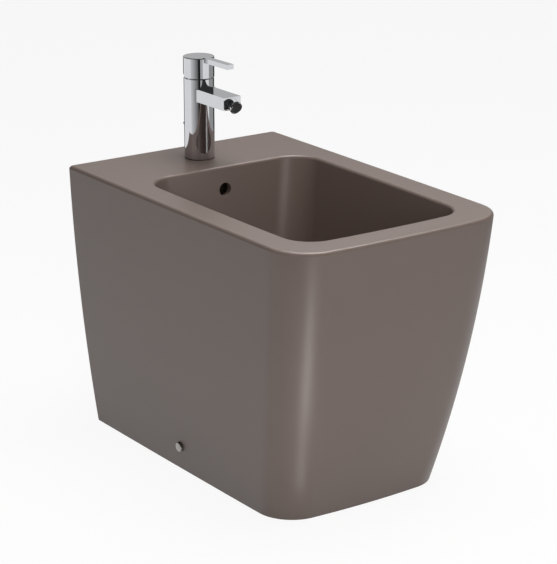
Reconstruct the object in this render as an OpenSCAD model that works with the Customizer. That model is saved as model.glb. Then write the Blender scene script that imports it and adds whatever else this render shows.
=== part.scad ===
// Floor standing bidet with a single lever mixer tap, a pop-up waste and a bottle trap.
// Millimetres. +Z is up, the user is at -Y and the wall is at +Y.
// The origin is on the floor, in the middle of the body's width and depth.

/* [Body] */
// Width across the rim
body_w = 360; // [340:1:400]
// Depth from the front of the rim to the wall
body_d = 560; // [540:1:600]
// Height of the rim above the floor
body_h = 400; // [390:1:430]
// How far each side draws in from the rim to the floor
side_draw = 37; // [25:1:40]
// How far the front draws in from the rim to the floor
front_draw = 80; // [60:1:95]
// How far each side comes in along its length, towards the front
side_bow = 3.8; // [0:0.2:6]
// How far the middle of the front stands out beyond its corners
front_bow = 3; // [0:0.2:5]
// Radius of the front corners at the rim, seen from above
corner_r = 60; // [50:1:70]
// Radius of the back corners, seen from above
back_r = 4; // [3:0.5:6]
// Radius of the outer edge round the top
edge_r = 5; // [3:0.5:7]
// Thickness of the outer wall and of the basin's wall
wall_t = 11; // [9:0.5:12]
// Thickness of the deck and the rim
deck_t = 14; // [12:0.5:16]

/* [Basin] */
// Width of the basin under its rounded lip
basin_w = 273; // [262:1:280]
// From the body's front edge to the basin's front wall
basin_front = 45; // [42:1:55]
// From the basin's back wall to the wall behind the bidet
basin_back = 135; // [130:1:145]
// Height of the waste's seat above the floor
seat_z = 233; // [228:1:238]
// Corner radius of the basin, seen from above
basin_r = 42; // [36:1:48]
// Radius of the lip between rim and basin
lip_r = 4; // [2:0.5:5]
// How far the floor rises from the waste to the foot of the walls
floor_rise = 13; // [8:1:16]
// Radius between the basin's walls and its floor
foot_r = 16; // [12:1:20]

/* [Overflow] */
// Diameter of the overflow hole
overflow_d = 20; // [16:1:24]
// From the rim down to the middle of the overflow hole
overflow_drop = 34; // [30:1:40]
// Inner width of the overflow duct
duct_w = 24; // [22:1:28]
// Inner depth of the overflow duct
duct_d = 14; // [12:1:16]
// Thickness of the duct's own wall
duct_wall = 7; // [5:0.5:8]

/* [Tap] */
// From the tap's axis to the wall
tap_back = 70; // [64:1:74]
// Diameter of the hole for the tap
tap_hole_d = 35; // [34:0.5:36]
// Diameter of the tap's column
column_d = 44; // [42:0.5:46]
// Height of the column above its gasket
column_h = 118; // [118:1:126]
// Thickness of the gasket under the column
gasket_t = 1; // [0.5:0.5:2]
// Depth of the column's spigot in the tap hole
spigot_h = 5; // [3:1:8]
// Width of the spout
spout_w = 29; // [27:0.5:31]
// Height of the spout
spout_h = 18.5; // [18:0.5:20]
// From the tap's axis to the end of the spout
spout_l = 86; // [80:1:96]
// From the top of the column down to the top of the spout
spout_drop = 13.5; // [13:0.5:14.5]
// Diameter of the cartridge
cartridge_d = 28; // [27:0.5:29]
// Height of the cartridge
cartridge_h = 34; // [33:0.5:35]
// Diameter of the threaded hose sockets
hose_d = 10; // [9:0.5:11]
// Depth of the threaded hose sockets
hose_l = 12; // [10:1:14]
// From the tap's axis to each hose socket, sideways
hose_x = 7.5; // [7:0.5:8]

/* [Handle] */
// Diameter of the handle
handle_d = 45; // [44.5:0.5:46]
// Height of the handle
handle_h = 29.5; // [28:0.5:32]
// Gap between the column and the handle
handle_gap = 1.5; // [1.5:0.25:2]
// Slope of the cut under the back of the handle, in degrees
handle_bevel = 24; // [23.5:0.5:26]
// Width of the lever
lever_w = 11; // [9:0.5:12]
// Thickness of the lever
lever_t = 7; // [6:0.5:8]
// From the tap's axis to the lever's tip
lever_l = 82; // [70:1:95]
// Height of the tilting pin under the top of the column
pin_drop = 14; // [14:0.5:14.5]
// Diameter of the spindle
spindle_d = 8; // [7:0.5:8]

/* [Nozzle] */
// Diameter of the nozzle
nozzle_d = 18.5; // [18:0.5:19]
// Length of the nozzle in front of its ball
nozzle_l = 6; // [5.5:0.25:8]
// How far the nozzle points down at rest, in degrees
nozzle_tilt = 28; // [24:1:28]
// Radius of the ball that the nozzle turns on
ball_r = 4; // [3.8:0.1:4.1]
// From the spout's end to the middle of the ball
ball_reach = 5.5; // [5.5:0.25:7]

/* [Waste] */
// From the basin's back wall to the middle of the waste
waste_back = 85; // [80:1:95]
// Diameter of the waste hole
waste_hole_d = 46; // [45:0.5:48]
// Diameter of the flange in the basin
flange_d = 63; // [60:0.5:65]
// Diameter of the waste's threaded body
waste_d = 42; // [41:0.5:42.5]
// Height of the ceramic boss round the waste
boss_h = 41; // [38:1:44]
// Length of the waste's body
waste_l = 92; // [90:1:96]
// Height of the waste's back nut
backnut_h = 8; // [6:0.5:9]
// From the seat of the waste down to the pivot of the ball rod
pivot_drop = 73; // [72:1:76]
// From the middle of the waste to the pivot
pivot_reach = 30; // [29:0.5:32]
// Diameter of the plug
plug_d = 42; // [40:0.5:44]

/* [Lift] */
// Travel of the lift rod
lift_travel = 24; // [20:1:25]
// Diameter of the lift rod
lift_d = 5; // [4:0.5:5]
// From the tap's axis back to the lift rod
lift_back = 13; // [12.5:0.5:13.5]
// Height of the knob above the foot of the column
knob_z = 42; // [40:1:44]
// Diameter of the knob
knob_d = 6.4; // [5:0.2:8]
// From the tap's axis to the knob's end
knob_reach = 39.5; // [36:0.5:44]
// Diameter of the ball rod
rod_d = 4; // [3.5:0.5:4]

/* [Trap] */
// Outer diameter of the trap's pipes
pipe_d = 32; // [31:0.5:33]
// Thickness of the pipes' wall
pipe_t = 1.5; // [1:0.5:2]
// Outer diameter of the bottle
bottle_d = 60; // [58:1:64]
// Height of the bottle's bottom cup above the floor
cup_z = 34; // [25:1:38]
// Height of the outlet pipe's axis above the floor
outlet_z = 88; // [86:1:90]
// Gap between the end of the outlet pipe and the wall
outlet_gap = 2; // [0:1:10]
// Length of the outlet pipe that goes into the wall's socket
spigot_l = 40; // [30:1:50]
// Height of the nut under the waste
inlet_nut_h = 18; // [16:1:20]
// Height of the nut on the bottle's neck
top_nut_h = 15; // [13:1:17]
// Length of the nut on the outlet
outlet_nut_l = 16; // [14:1:18]
// Thickness of the closed end of each trap nut
nut_end = 3; // [2.5:0.5:3]

/* [Floor fixing] */
// Height of the side screws above the floor
screw_z = 37; // [34:1:42]
// From the side screws to the wall
screw_back = 239; // [220:1:260]
// Diameter of the caps over the side screws
cap_d = 14; // [13:0.5:16]
// How far the caps stand out from their seat
cap_h = 7; // [6:0.5:8]
// Diameter of the side screws
screw_d = 6; // [5:0.5:6]
// From the outer face of each bracket in to its floor screw
floor_screw_in = 20.4; // [18:0.2:24]
// Diameter of the holes for the floor screws
floor_screw_d = 8; // [6:0.5:9]
// Width of the floor brackets
bracket_w = 44; // [36:1:60]
// Height of the floor brackets
bracket_h = 62; // [56:1:80]
// Thickness of the floor brackets
bracket_t = 3; // [2:0.5:4]

/* [Fits] */
// Gap round a pin or shaft that turns, on the radius
run_gap = 0.05; // [0.03:0.01:0.08]
// Gap round threads and pressed pieces, on the radius
thread_gap = 0.05; // [0.03:0.01:0.1]
// Gap between other surfaces that pass each other
free_gap = 0.3; // [0.3:0.05:0.4]

/* [Hidden] */
$fn = 64;

// Colours
GLAZE = [0.44, 0.41, 0.39];
CHROME = [0.80, 0.80, 0.81];
BRASS = [0.78, 0.66, 0.38];
STEEL = [0.66, 0.67, 0.68];
RUBBER = [0.12, 0.12, 0.12];
WHITE_PLASTIC = [0.90, 0.90, 0.88];
GREY_PLASTIC = [0.55, 0.56, 0.57];
ALUMINA = [0.93, 0.92, 0.88];

// Places worked out from the sizes above
wall_y = body_d / 2;
front_y = -body_d / 2;
basin_y0 = front_y + basin_front;
basin_y1 = wall_y - basin_back;
tap_y = wall_y - tap_back;
waste_y = basin_y1 - waste_back;
deck_under = body_h - deck_t;
column_z0 = body_h + gasket_t;
column_z1 = column_z0 + column_h;
over = 1; // how far cuts run past a face

// ---------- Outlines of the ceramic ----------
// A side or front that curves in with depth: u is 0 at the rim and 1 at the floor
SIDE_SHARE = 0.4;
FRONT_SHARE = 0.55;
CORNER_LOSS = 6; // the front corners are this much tighter at the floor
function curve_in(u, share) = share * u + (1 - share) * u * u;
function depth_share(z) = max(0, body_h - edge_r - z) / (body_h - edge_r);

// How far a side comes in at y: nothing at the widest place ym, front_in at yf and back_in at yb
function bow(y, yf, ym, yb, front_in, back_in) =
    y < ym ? front_in * pow((ym - y) / (ym - yf), 2) :
    yb > ym ? back_in * pow((y - ym) / (yb - ym), 2) : 0;

ARC_STEPS = 6;
SIDE_STEPS = 3;
FRONT_STEPS = 3;
// Right half of a plan, from the back to the front. w is the half width, yf and yb are the ends,
// rf and rb the corner radii, ym the widest place, and sb, bb and fb the bows of side, back and front
function half_plan(w, yf, yb, rf, rb, ym, sb, bb, fb) =
    let (xb = w - bow(yb - rb, yf, ym, yb, sb, bb) - rb,
         xf = w - bow(yf + rf, yf, ym, yb, sb, bb) - rf)
    concat(
        [for (i = [0:ARC_STEPS]) let (a = 90 - 90 * i / ARC_STEPS)
            [xb + rb * cos(a), yb - rb + rb * sin(a)]],
        [for (i = [1:SIDE_STEPS]) let (y = yb - rb + (yf + rf - yb + rb) * i / (SIDE_STEPS + 1))
            [w - bow(y, yf, ym, yb, sb, bb), y]],
        [for (i = [0:ARC_STEPS]) let (a = -90 * i / ARC_STEPS)
            [xf + rf * cos(a), yf + fb + rf + rf * sin(a)]],
        [for (i = [1:FRONT_STEPS - 1]) let (x = xf * (1 - i / FRONT_STEPS))
            [x, yf + fb * pow(x / xf, 2)]]
    );
// Whole plan: the right half, the middle of the front, and the left half
function plan(half, yf) =
    concat(half, [[0, yf]], [for (i = [len(half) - 1:-1:0]) [-half[i][0], half[i][1]]]);

// Outer plan at height z, drawn in by e all round except at the back, which lies at yb
function outer_plan(z, e, yb) =
    let (u = depth_share(z), yf = front_y + front_draw * curve_in(u, FRONT_SHARE) + e)
    plan(half_plan(body_w / 2 - side_draw * curve_in(u, SIDE_SHARE) - e, yf, yb,
                   corner_r - CORNER_LOSS * u - e, back_r, yb, side_bow, 0, front_bow), yf);

// Basin plan at height z, widened by e; its walls lean in with depth
SIDE_LEAN = 0.105;
FRONT_LEAN = 0.12;
BACK_LEAN = 0.04;
BASIN_SIDE_BOW = 3.6;
BASIN_BACK_BOW = 1;
BASIN_FRONT_BOW = 2;
WIDEST_FROM_BACK = 105; // the basin is widest this far in front of its back wall
function basin_plan(z, e) =
    let (t = body_h - z, yf = basin_y0 + FRONT_LEAN * t - e, yb = basin_y1 - BACK_LEAN * t + e)
    plan(half_plan(basin_w / 2 - SIDE_LEAN * t + e, yf, yb, basin_r + e, basin_r + e,
                   basin_y1 - WIDEST_FROM_BACK, BASIN_SIDE_BOW, BASIN_BACK_BOW,
                   BASIN_FRONT_BOW), yf);
// Nearly round plan about the waste
function waste_plan(r) =
    plan(half_plan(r, waste_y - r, waste_y + r, r * 0.95, r * 0.95, waste_y, 0, 0, 0), waste_y - r);

// Closed solid through a list of [height, plan], from the lowest to the highest
module loft(rings) {
    n = len(rings[0][1]);
    m = len(rings);
    points = [for (r = rings) for (p = r[1]) [p[0], p[1], r[0]]];
    sides = [for (k = [0:m - 2]) for (i = [0:n - 1])
        let (j = (i + 1) % n, a = k * n + i, b = k * n + j, c = b + n, d = a + n)
        each [[a, b, c], [a, c, d]]];
    polyhedron(points, concat([[for (i = [n - 1:-1:0]) i], [for (i = [0:n - 1]) (m - 1) * n + i]],
                              sides), convexity = 6);
}

EDGE_STEPS = 3;
BODY_RINGS = 6;
module outer_form() {
    loft(concat(
        [for (i = [0:BODY_RINGS]) let (z = (body_h - edge_r) * i / BODY_RINGS)
            [z, outer_plan(z, 0, wall_y)]],
        [for (i = [1:EDGE_STEPS])
            let (a = 90 * i / EDGE_STEPS, e = edge_r * (1 - cos(a)), z = body_h - edge_r * (1 - sin(a)))
            [z, outer_plan(z, e, wall_y - e)]]));
}

foot_z = seat_z + floor_rise;
seat_r = flange_d / 2 + 2;
module basin_form() {
    loft(concat(
        [[seat_z, waste_plan(seat_r)]],
        [for (i = [0:EDGE_STEPS]) let (a = 90 * i / EDGE_STEPS)
            [foot_z + foot_r * (1 - cos(a)), basin_plan(foot_z + foot_r, foot_r * (sin(a) - 1))]],
        [for (i = [0:EDGE_STEPS]) let (a = 90 * i / EDGE_STEPS, z = body_h - lip_r * (1 - sin(a)))
            [z, basin_plan(z, lip_r * (1 - cos(a)))]],
        [[body_h + over, basin_plan(body_h, lip_r)]]));
}
// Outer face of the basin's wall
module basin_shell_form() {
    loft([[seat_z - wall_t, waste_plan(seat_r)],
          [foot_z - wall_t, basin_plan(foot_z, wall_t - foot_r)],
          [foot_z + foot_r / 2, basin_plan(foot_z + foot_r, wall_t)],
          [body_h - over, basin_plan(body_h, wall_t)]]);
}
// Space inside the outer wall, open at the wall and the floor
module cavity_form() {
    loft([for (i = [0:BODY_RINGS]) let (z = -over + (deck_under + over) * i / BODY_RINGS)
        [z, outer_plan(z, wall_t, wall_y + over)]]);
}

// Overflow duct: down behind the basin's back wall and forward to the waste boss
boss_z = seat_z - boss_h;
duct_y0 = basin_y1 + wall_t - 3;
duct_top = body_h - overflow_drop + overflow_d / 2 + 2;
duct_low = boss_z + duct_wall + 2;
duct_run_h = 16;
module duct_outside() {
    translate([-duct_w / 2 - duct_wall, duct_y0 - wall_t, duct_low - duct_wall])
        cube([duct_w + 2 * duct_wall, wall_t + duct_d + duct_wall,
              deck_under - duct_low + duct_wall + over]);
    translate([-duct_w / 2 - duct_wall, waste_y, duct_low - duct_wall])
        cube([duct_w + 2 * duct_wall, duct_y0 - waste_y + over, duct_run_h + 2 * duct_wall]);
}
module duct_inside() {
    translate([-duct_w / 2, duct_y0, duct_low])
        cube([duct_w, duct_d, duct_top - duct_low]);
    translate([-duct_w / 2, waste_y, duct_low])
        cube([duct_w, duct_y0 - waste_y + over, duct_run_h]);
}

// Side fixing: where the outer wall stands at the height of the screw
screw_y = wall_y - screw_back;
screw_wall_x = body_w / 2 - side_draw * curve_in(depth_share(screw_z), SIDE_SHARE)
    - bow(screw_y, front_y, wall_y, wall_y, side_bow, 0);
cap_sink = 2.6; // how far the seat of the caps lies in from the outer wall
cap_seat_x = screw_wall_x - cap_sink;
wall_foot_x = body_w / 2 - side_draw - side_bow * 0.2 - wall_t;
bracket_clear = 0.8; // from the inside of the outer wall to each bracket
bracket_x1 = wall_foot_x - bracket_clear;
bracket_x0 = bracket_x1 - bracket_t;
fix_boss_d = 30;
bush_wall = 1.4;
bush_flange_t = 1.2;
bush_d = screw_d + 2 * bush_wall;

module along_x(x) {
    translate([x, screw_y, screw_z])
        rotate([0, 90, 0])
            children();
}
module both_sides() {
    children();
    mirror([1, 0, 0])
        children();
}

module ceramic_body() {
    color(GLAZE)
        difference() {
            outer_form();
            basin_form();
            difference() {
                cavity_form();
                basin_shell_form();
                translate([0, waste_y, boss_z])
                    cylinder(d = waste_hole_d + 2 * wall_t, h = boss_h);
                duct_outside();
                both_sides()
                    along_x(bracket_x1 + free_gap)
                        cylinder(d = fix_boss_d, h = wall_t + 9);
            }
            duct_inside();
            translate([0, waste_y, boss_z - over])
                cylinder(d = waste_hole_d, h = boss_h + 2 * over);
            translate([0, duct_y0 + over, body_h - overflow_drop])
                rotate([90, 0, 0])
                    cylinder(d = overflow_d, h = wall_t + 2 * over + 3);
            translate([0, tap_y, deck_under - over])
                cylinder(d = tap_hole_d, h = deck_t + 2 * over);
            both_sides() {
                along_x(bracket_x1 - over)
                    cylinder(r = bush_d / 2 + thread_gap, h = wall_t + 20);
                along_x(cap_seat_x)
                    cylinder(d = cap_d + 1, h = 20);
            }
        }
}

// ---------- Tap ----------
module at_tap(z) {
    translate([0, tap_y, z])
        children();
}
module ring(d_out, d_in, h) {
    difference() {
        cylinder(d = d_out, h = h);
        translate([0, 0, -over])
            cylinder(d = d_in, h = h + 2 * over);
    }
}

module tap_gasket() {
    color(RUBBER)
        at_tap(body_h)
            ring(column_d - 1, tap_hole_d + 1, gasket_t);
}

cartridge_z1 = column_z1 - 11;
cartridge_z0 = cartridge_z1 - cartridge_h;
spout_z1 = column_z1 - spout_drop;
spout_z0 = spout_z1 - spout_h;
spout_end_y = tap_y - spout_l;
spigot_d = tap_hole_d - 1;
nut_bore_d = 25;
crown_d = column_d - 5.6; // threaded bore in the top of the column
hose_y = 4;
stud_y = -10.5;
stud_d = 8;
stud_depth = 12;
passage_d = 8;
adapter_z = (spout_z0 + spout_z1) / 2;
adapter_flange_d = 16;
adapter_flange_t = 2;
adapter_d = 12;
adapter_l = 10;
spout_wall = 3.5;
root_flare = 3;
lift_z1 = column_z0 + knob_z + 3; // top of the lift rod at rest
lift_bore = lift_d + 2 * free_gap;
stem_d = 3;
slot_w = stem_d + 2 * 0.6;
module tap_body() {
    color(CHROME)
        difference() {
            union() {
                at_tap(column_z0)
                    cylinder(d = column_d, h = column_h, $fn = 96);
                at_tap(body_h - spigot_h)
                    cylinder(d = spigot_d, h = spigot_h + gasket_t + over);
                at_tap(spout_z0)
                    linear_extrude(spout_h)
                        polygon([[-spout_w / 2, 0], [-spout_w / 2 - root_flare, -column_d / 2 + 6],
                                 [-spout_w / 2, -column_d / 2 - root_flare], [-spout_w / 2, -spout_l],
                                 [spout_w / 2, -spout_l], [spout_w / 2, -column_d / 2 - root_flare],
                                 [spout_w / 2 + root_flare, -column_d / 2 + 6], [spout_w / 2, 0]]);
            }
            at_tap(cartridge_z0)
                cylinder(d = cartridge_d + 2, h = cartridge_h + over);
            at_tap(cartridge_z1)
                cylinder(d = crown_d, h = column_h);
            translate([-adapter_d / 2, spout_end_y + adapter_l, spout_z0 + spout_wall])
                cube([adapter_d, spout_l - adapter_l - cartridge_d / 2 + 2, spout_h - 2 * spout_wall]);
            translate([0, spout_end_y + adapter_l + over, adapter_z])
                rotate([90, 0, 0])
                    cylinder(r = adapter_d / 2 + thread_gap, h = adapter_l + 2 * over);
            translate([0, spout_end_y + adapter_flange_t, adapter_z])
                rotate([90, 0, 0])
                    cylinder(r = adapter_flange_d / 2 + thread_gap, h = adapter_flange_t + over);
            for (side = [-1, 1])
                at_tap(body_h - spigot_h - over)
                    translate([side * hose_x, hose_y, 0]) {
                        cylinder(d = hose_d, h = hose_l + over);
                        cylinder(d = passage_d, h = cartridge_z0 - body_h + spigot_h + 2 * over);
                    }
            at_tap(body_h - spigot_h - over)
                translate([0, stud_y, 0])
                    cylinder(r = stud_d / 2 + thread_gap, h = stud_depth + over);
            at_tap(body_h - spigot_h - over)
                translate([0, lift_back, 0])
                    cylinder(d = lift_bore, h = lift_z1 + lift_travel + 2 - body_h + spigot_h + over);
            at_tap(column_z0 + knob_z - stem_d / 2 - 0.6)
                translate([-slot_w / 2, lift_back, 0])
                    cube([slot_w, column_d / 2, lift_travel + stem_d + 1.2]);
        }
}

// Cartridge: a plastic housing with a fixed and a moving ceramic disc and a carrier that swivels
disc_t = 3;
disc_z = cartridge_z0 + 16;
cartridge_wall = 2.7;
cartridge_bore = cartridge_d - 2 * cartridge_wall;
module cartridge_body() {
    color(GREY_PLASTIC)
        at_tap(cartridge_z0)
            difference() {
                cylinder(d = cartridge_d, h = cartridge_h);
                translate([0, 0, disc_z - cartridge_z0])
                    cylinder(d = cartridge_bore, h = cartridge_h);
                for (side = [-1, 1])
                    translate([side * hose_x, hose_y, -over])
                        cylinder(d = passage_d - 2, h = disc_z - cartridge_z0 + 2 * over);
                translate([0, stud_y / 2, cartridge_h * 0.25])
                    cylinder(d = passage_d - 2, h = cartridge_h);
                translate([-3, -cartridge_d, cartridge_h * 0.25])
                    cube([6, cartridge_d + stud_y / 2, 7]);
            }
}

module fixed_disc() {
    color(ALUMINA)
        at_tap(disc_z)
            difference() {
                cylinder(r = cartridge_bore / 2 - thread_gap, h = disc_t);
                for (side = [-1, 1])
                    translate([side * hose_x, hose_y, -over])
                        cylinder(d = passage_d - 3, h = disc_t + 2 * over);
                translate([0, stud_y / 2, -over])
                    cylinder(d = passage_d - 3, h = disc_t + 2 * over);
            }
}

tail_d = 4;
tail_drop = 9.5; // how far the spindle's tail reaches under the tilting pin
moving_z = disc_z + disc_t + 0.1;
moving_d = cartridge_bore - 7;
module moving_disc() {
    color(ALUMINA)
        at_tap(moving_z)
            difference() {
                cylinder(d = moving_d, h = disc_t);
                translate([0, 0, disc_t / 2])
                    cylinder(r = tail_d / 2 + 2 * free_gap, h = disc_t);
            }
}

pin_z = column_z1 - pin_drop;
pin_d = 3;
pin_l = 19;
carrier_z = moving_z + disc_t + 0.2;
carrier_h = 15;
carrier_d = cartridge_bore - 2 * free_gap;
flat_w = 6; // thickness of the spindle where the pin goes through
flat_low = 4.5; // how far the flat reaches under the pin
flat_top = carrier_z + carrier_h - pin_z + 2; // and above it, clear of the carrier when tilted
module cartridge_carrier() {
    color(WHITE_PLASTIC)
        difference() {
            at_tap(carrier_z)
                cylinder(d = carrier_d, h = carrier_h);
            at_tap(carrier_z - over)
                translate([-flat_w / 2 - free_gap, -carrier_d / 2 + 3, 0])
                    cube([flat_w + 2 * free_gap, carrier_d - 6, carrier_h + 2 * over]);
            at_tap(pin_z)
                rotate([0, 90, 0])
                    cylinder(d = pin_d, h = pin_l, center = true);
        }
}

module tilt_pin() {
    color(STEEL)
        at_tap(pin_z)
            rotate([0, 90, 0])
                cylinder(d = pin_d, h = pin_l, center = true);
}

handle_z0 = column_z1 + handle_gap;
handle_z1 = handle_z0 + handle_h;
handle_wall = 2.5;
handle_roof = 4;
dome_d = 2 * norm([crown_d / 2 + 1.3, pin_drop]);
dome_t = 1.8;
hub_d = 14;
hub_z0 = pin_z + dome_d / 2 + 0.6;
hub_z1 = handle_z1 - handle_roof;
module spindle() {
    color(BRASS)
        difference() {
            union() {
                at_tap(pin_z - flat_low)
                    translate([-flat_w / 2, -spindle_d / 2, 0])
                        cube([flat_w, spindle_d, flat_low + flat_top + over]);
                at_tap(pin_z + flat_top)
                    cylinder(d = spindle_d, h = hub_z1 - pin_z - flat_top);
                at_tap(pin_z - tail_drop)
                    cylinder(d = tail_d, h = tail_drop - 2);
            }
            at_tap(pin_z)
                rotate([0, 90, 0])
                    cylinder(r = pin_d / 2 + run_gap, h = pin_l, center = true);
        }
}

nut_h = 10;
module cartridge_nut() {
    color(BRASS)
        at_tap(cartridge_z1)
            difference() {
                cylinder(r = crown_d / 2 - thread_gap, h = nut_h);
                translate([0, 0, -over])
                    cylinder(d = nut_bore_d, h = nut_h + 2 * over);
                for (turn = [45, 135])
                    rotate(turn)
                        translate([-crown_d, -2, nut_h - 2.5])
                            cube([2 * crown_d, 4, 4]);
            }
}

dome_hole_d = 25;
module dome_ring() {
    color(CHROME)
        difference() {
            union() {
                intersection() {
                    at_tap(pin_z)
                        sphere(d = dome_d, $fn = 96);
                    at_tap(column_z1)
                        cylinder(d = column_d, h = dome_d);
                }
                at_tap(column_z1 - 1)
                    cylinder(r = crown_d / 2 - free_gap / 2, h = 1.5);
            }
            at_tap(pin_z)
                sphere(d = dome_d - 2 * dome_t, $fn = 96);
            at_tap(column_z1 - 2)
                cylinder(d = dome_hole_d, h = dome_d);
        }
}

handle_edge = 1.5;
lever_slope = 0.46;
lever_rise = 0.7; // height of the lever's top over the handle's top, at the tap's axis
screw_seat_z = hub_z0 + 7;
plug_hole_d = 6;
module tap_handle() {
    color(CHROME)
        at_tap(0)
            difference() {
                union() {
                    difference() {
                        translate([0, 0, handle_z0])
                            rotate_extrude($fn = 96)
                                polygon(concat(
                                    [[0, 0], [handle_d / 2, 0]],
                                    [for (a = [0:30:90])
                                        [handle_d / 2 - handle_edge * (1 - cos(a)),
                                         handle_h - handle_edge * (1 - sin(a))]],
                                    [[0, handle_h]]));
                        translate([0, 0, handle_z0 - over])
                            cylinder(r = handle_d / 2 - handle_wall, h = hub_z1 - handle_z0 + over);
                    }
                    translate([0, 0, hub_z0])
                        cylinder(d = hub_d, h = hub_z1 - hub_z0 + over);
                    translate([0, 0, handle_z1 + lever_rise])
                        rotate([-lever_slope, 0, 0])
                            translate([-lever_w / 2, -lever_l, -lever_t])
                                cube([lever_w, lever_l - handle_d / 2 + handle_wall, lever_t]);
                }
                translate([-handle_d, 0, handle_z0])
                    rotate([handle_bevel, 0, 0])
                        translate([0, 0, -handle_d])
                            cube([2 * handle_d, handle_d, handle_d]);
                translate([0, 0, hub_z0 - over])
                    cylinder(r = spindle_d / 2 + thread_gap, h = hub_z1 - hub_z0 + over);
                translate([0, 0, screw_seat_z])
                    rotate([-90, 0, 0]) {
                        cylinder(r = 2.5 + thread_gap, h = hub_d);
                        cylinder(r = plug_hole_d / 2 + thread_gap, h = handle_d);
                    }
            }
}

module handle_screw() {
    color(STEEL)
        translate([0, tap_y + spindle_d / 2 + free_gap / 2, screw_seat_z])
            rotate([-90, 0, 0])
                difference() {
                    cylinder(r = 2.5, h = 6);
                    translate([0, 0, 3.5])
                        cylinder(d = 2.8, h = 4, $fn = 6);
                }
}

module handle_plug() {
    color(CHROME)
        translate([0, tap_y + handle_d / 2 - handle_wall - 0.5, screw_seat_z])
            rotate([-90, 0, 0])
                cylinder(d = plug_hole_d, h = handle_wall);
}

// ---------- Nozzle ----------
// Its own frame has the ball at the origin and the water leaving along +Z
ball_y = spout_end_y - ball_reach;
ball_z = adapter_z - ball_reach * tan(nozzle_tilt);
module at_nozzle() {
    translate([0, ball_y, ball_z])
        rotate([90 + nozzle_tilt, 0, 0])
            children();
}
neck_d = 4;
lip_z = -2.4;
lip_t = 0.5;
ring_t = 0.7;
ring_h = 1;
socket_r = ball_r + free_gap + ring_t + free_gap;
module nozzle_adapter() {
    color(CHROME)
        difference() {
            union() {
                translate([0, spout_end_y + adapter_l, adapter_z])
                    rotate([90, 0, 0])
                        cylinder(d = adapter_d, h = adapter_l - adapter_flange_t / 2);
                translate([0, spout_end_y + adapter_flange_t, adapter_z])
                    rotate([90, 0, 0])
                        cylinder(d = adapter_flange_d, h = adapter_flange_t);
                at_nozzle() {
                    sphere(r = ball_r);
                    translate([0, 0, -ball_reach / cos(nozzle_tilt) - 1])
                        cylinder(d = neck_d, h = ball_reach / cos(nozzle_tilt) + 1);
                }
            }
            at_nozzle()
                translate([0, 0, -ball_reach / cos(nozzle_tilt) - 4])
                    cylinder(d = 2, h = 20);
            translate([0, spout_end_y + adapter_l + over, adapter_z])
                rotate([90, 0, 0])
                    cylinder(d = adapter_d - 4, h = adapter_l - adapter_flange_t);
        }
}

module nozzle_ring() {
    color(RUBBER)
        at_nozzle()
            intersection() {
                difference() {
                    sphere(r = ball_r + free_gap + ring_t);
                    sphere(r = ball_r + free_gap);
                }
                cylinder(r = nozzle_d, h = ring_h, center = true);
            }
}

aerator_d = nozzle_d - 4;
aerator_recess = 0.4;
aerator_z = ball_r + free_gap + 0.1;
module nozzle_housing() {
    color(CHROME)
        at_nozzle()
            difference() {
                rotate_extrude($fn = 96)
                    polygon([[0, lip_z], [nozzle_d / 2 - 3.95, lip_z], [nozzle_d / 2 - 2.65, lip_z / 2],
                             [nozzle_d / 2, 1], [nozzle_d / 2, nozzle_l - 0.6],
                             [nozzle_d / 2 - 0.6, nozzle_l], [0, nozzle_l]]);
                intersection() {
                    sphere(r = socket_r);
                    translate([0, 0, lip_z + lip_t])
                        cylinder(r = nozzle_d, h = nozzle_d);
                }
                sphere(r = ball_r + free_gap);
                translate([0, 0, lip_z - over])
                    cylinder(r = ball_r - 0.6, h = 4);
                cylinder(r = ball_r - 0.5, h = nozzle_l);
                translate([0, 0, aerator_z])
                    cylinder(r = aerator_d / 2 + thread_gap, h = nozzle_l);
            }
}

module aerator() {
    color(GREY_PLASTIC)
        at_nozzle()
            translate([0, 0, aerator_z])
                difference() {
                    cylinder(d = aerator_d, h = nozzle_l - aerator_recess - aerator_z);
                    for (ring_r = [0, 2.4, 4.8])
                        for (k = [0:max(1, ring_r * 2.5) - 1])
                            rotate(k * 360 / max(1, ring_r * 2.5))
                                translate([ring_r, 0, -over])
                                    cylinder(d = 1.2, h = nozzle_l, $fn = 8);
                }
}

// ---------- Fixing of the tap under the deck ----------
rubber_t = 3;
plate_t = 2;
clamp_d = 52;
module crescent(h) {
    difference() {
        cylinder(d = clamp_d, h = h);
        translate([0, 11, -over])
            cylinder(r = 15.5, h = h + 2 * over);
        translate([-15.5, 11, -over])
            cube([31, clamp_d, h + 2 * over]);
        translate([0, stud_y, -over])
            cylinder(r = stud_d / 2 + thread_gap, h = h + 2 * over);
    }
}
module clamp_rubber() {
    color(RUBBER)
        at_tap(deck_under - rubber_t)
            crescent(rubber_t);
}
module clamp_plate() {
    color(STEEL)
        at_tap(deck_under - rubber_t - plate_t)
            crescent(plate_t);
}
clamp_z = deck_under - rubber_t - plate_t;
clamp_nut_h = 8;
stud_tail = 30;
module clamp_nut() {
    color(BRASS)
        at_tap(clamp_z - clamp_nut_h)
            translate([0, stud_y, 0])
                difference() {
                    cylinder(d = 14.5, h = clamp_nut_h, $fn = 6);
                    translate([0, 0, -over])
                        cylinder(r = stud_d / 2 + thread_gap, h = clamp_nut_h + 2 * over);
                }
}
module mounting_stud() {
    color(BRASS)
        at_tap(clamp_z - stud_tail)
            translate([0, stud_y, 0])
                cylinder(d = stud_d, h = body_h - spigot_h + stud_depth - clamp_z + stud_tail);
}

// ---------- Pop-up lift ----------
pivot_y = waste_y + pivot_reach;
pivot_z = seat_z - pivot_drop;
rod_y = tap_y + lift_back;
strap_t = 1.5;
strap_y = rod_y + lift_d / 2 + 1.5;
rear_arm = strap_y + strap_t / 2 - pivot_y;
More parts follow.
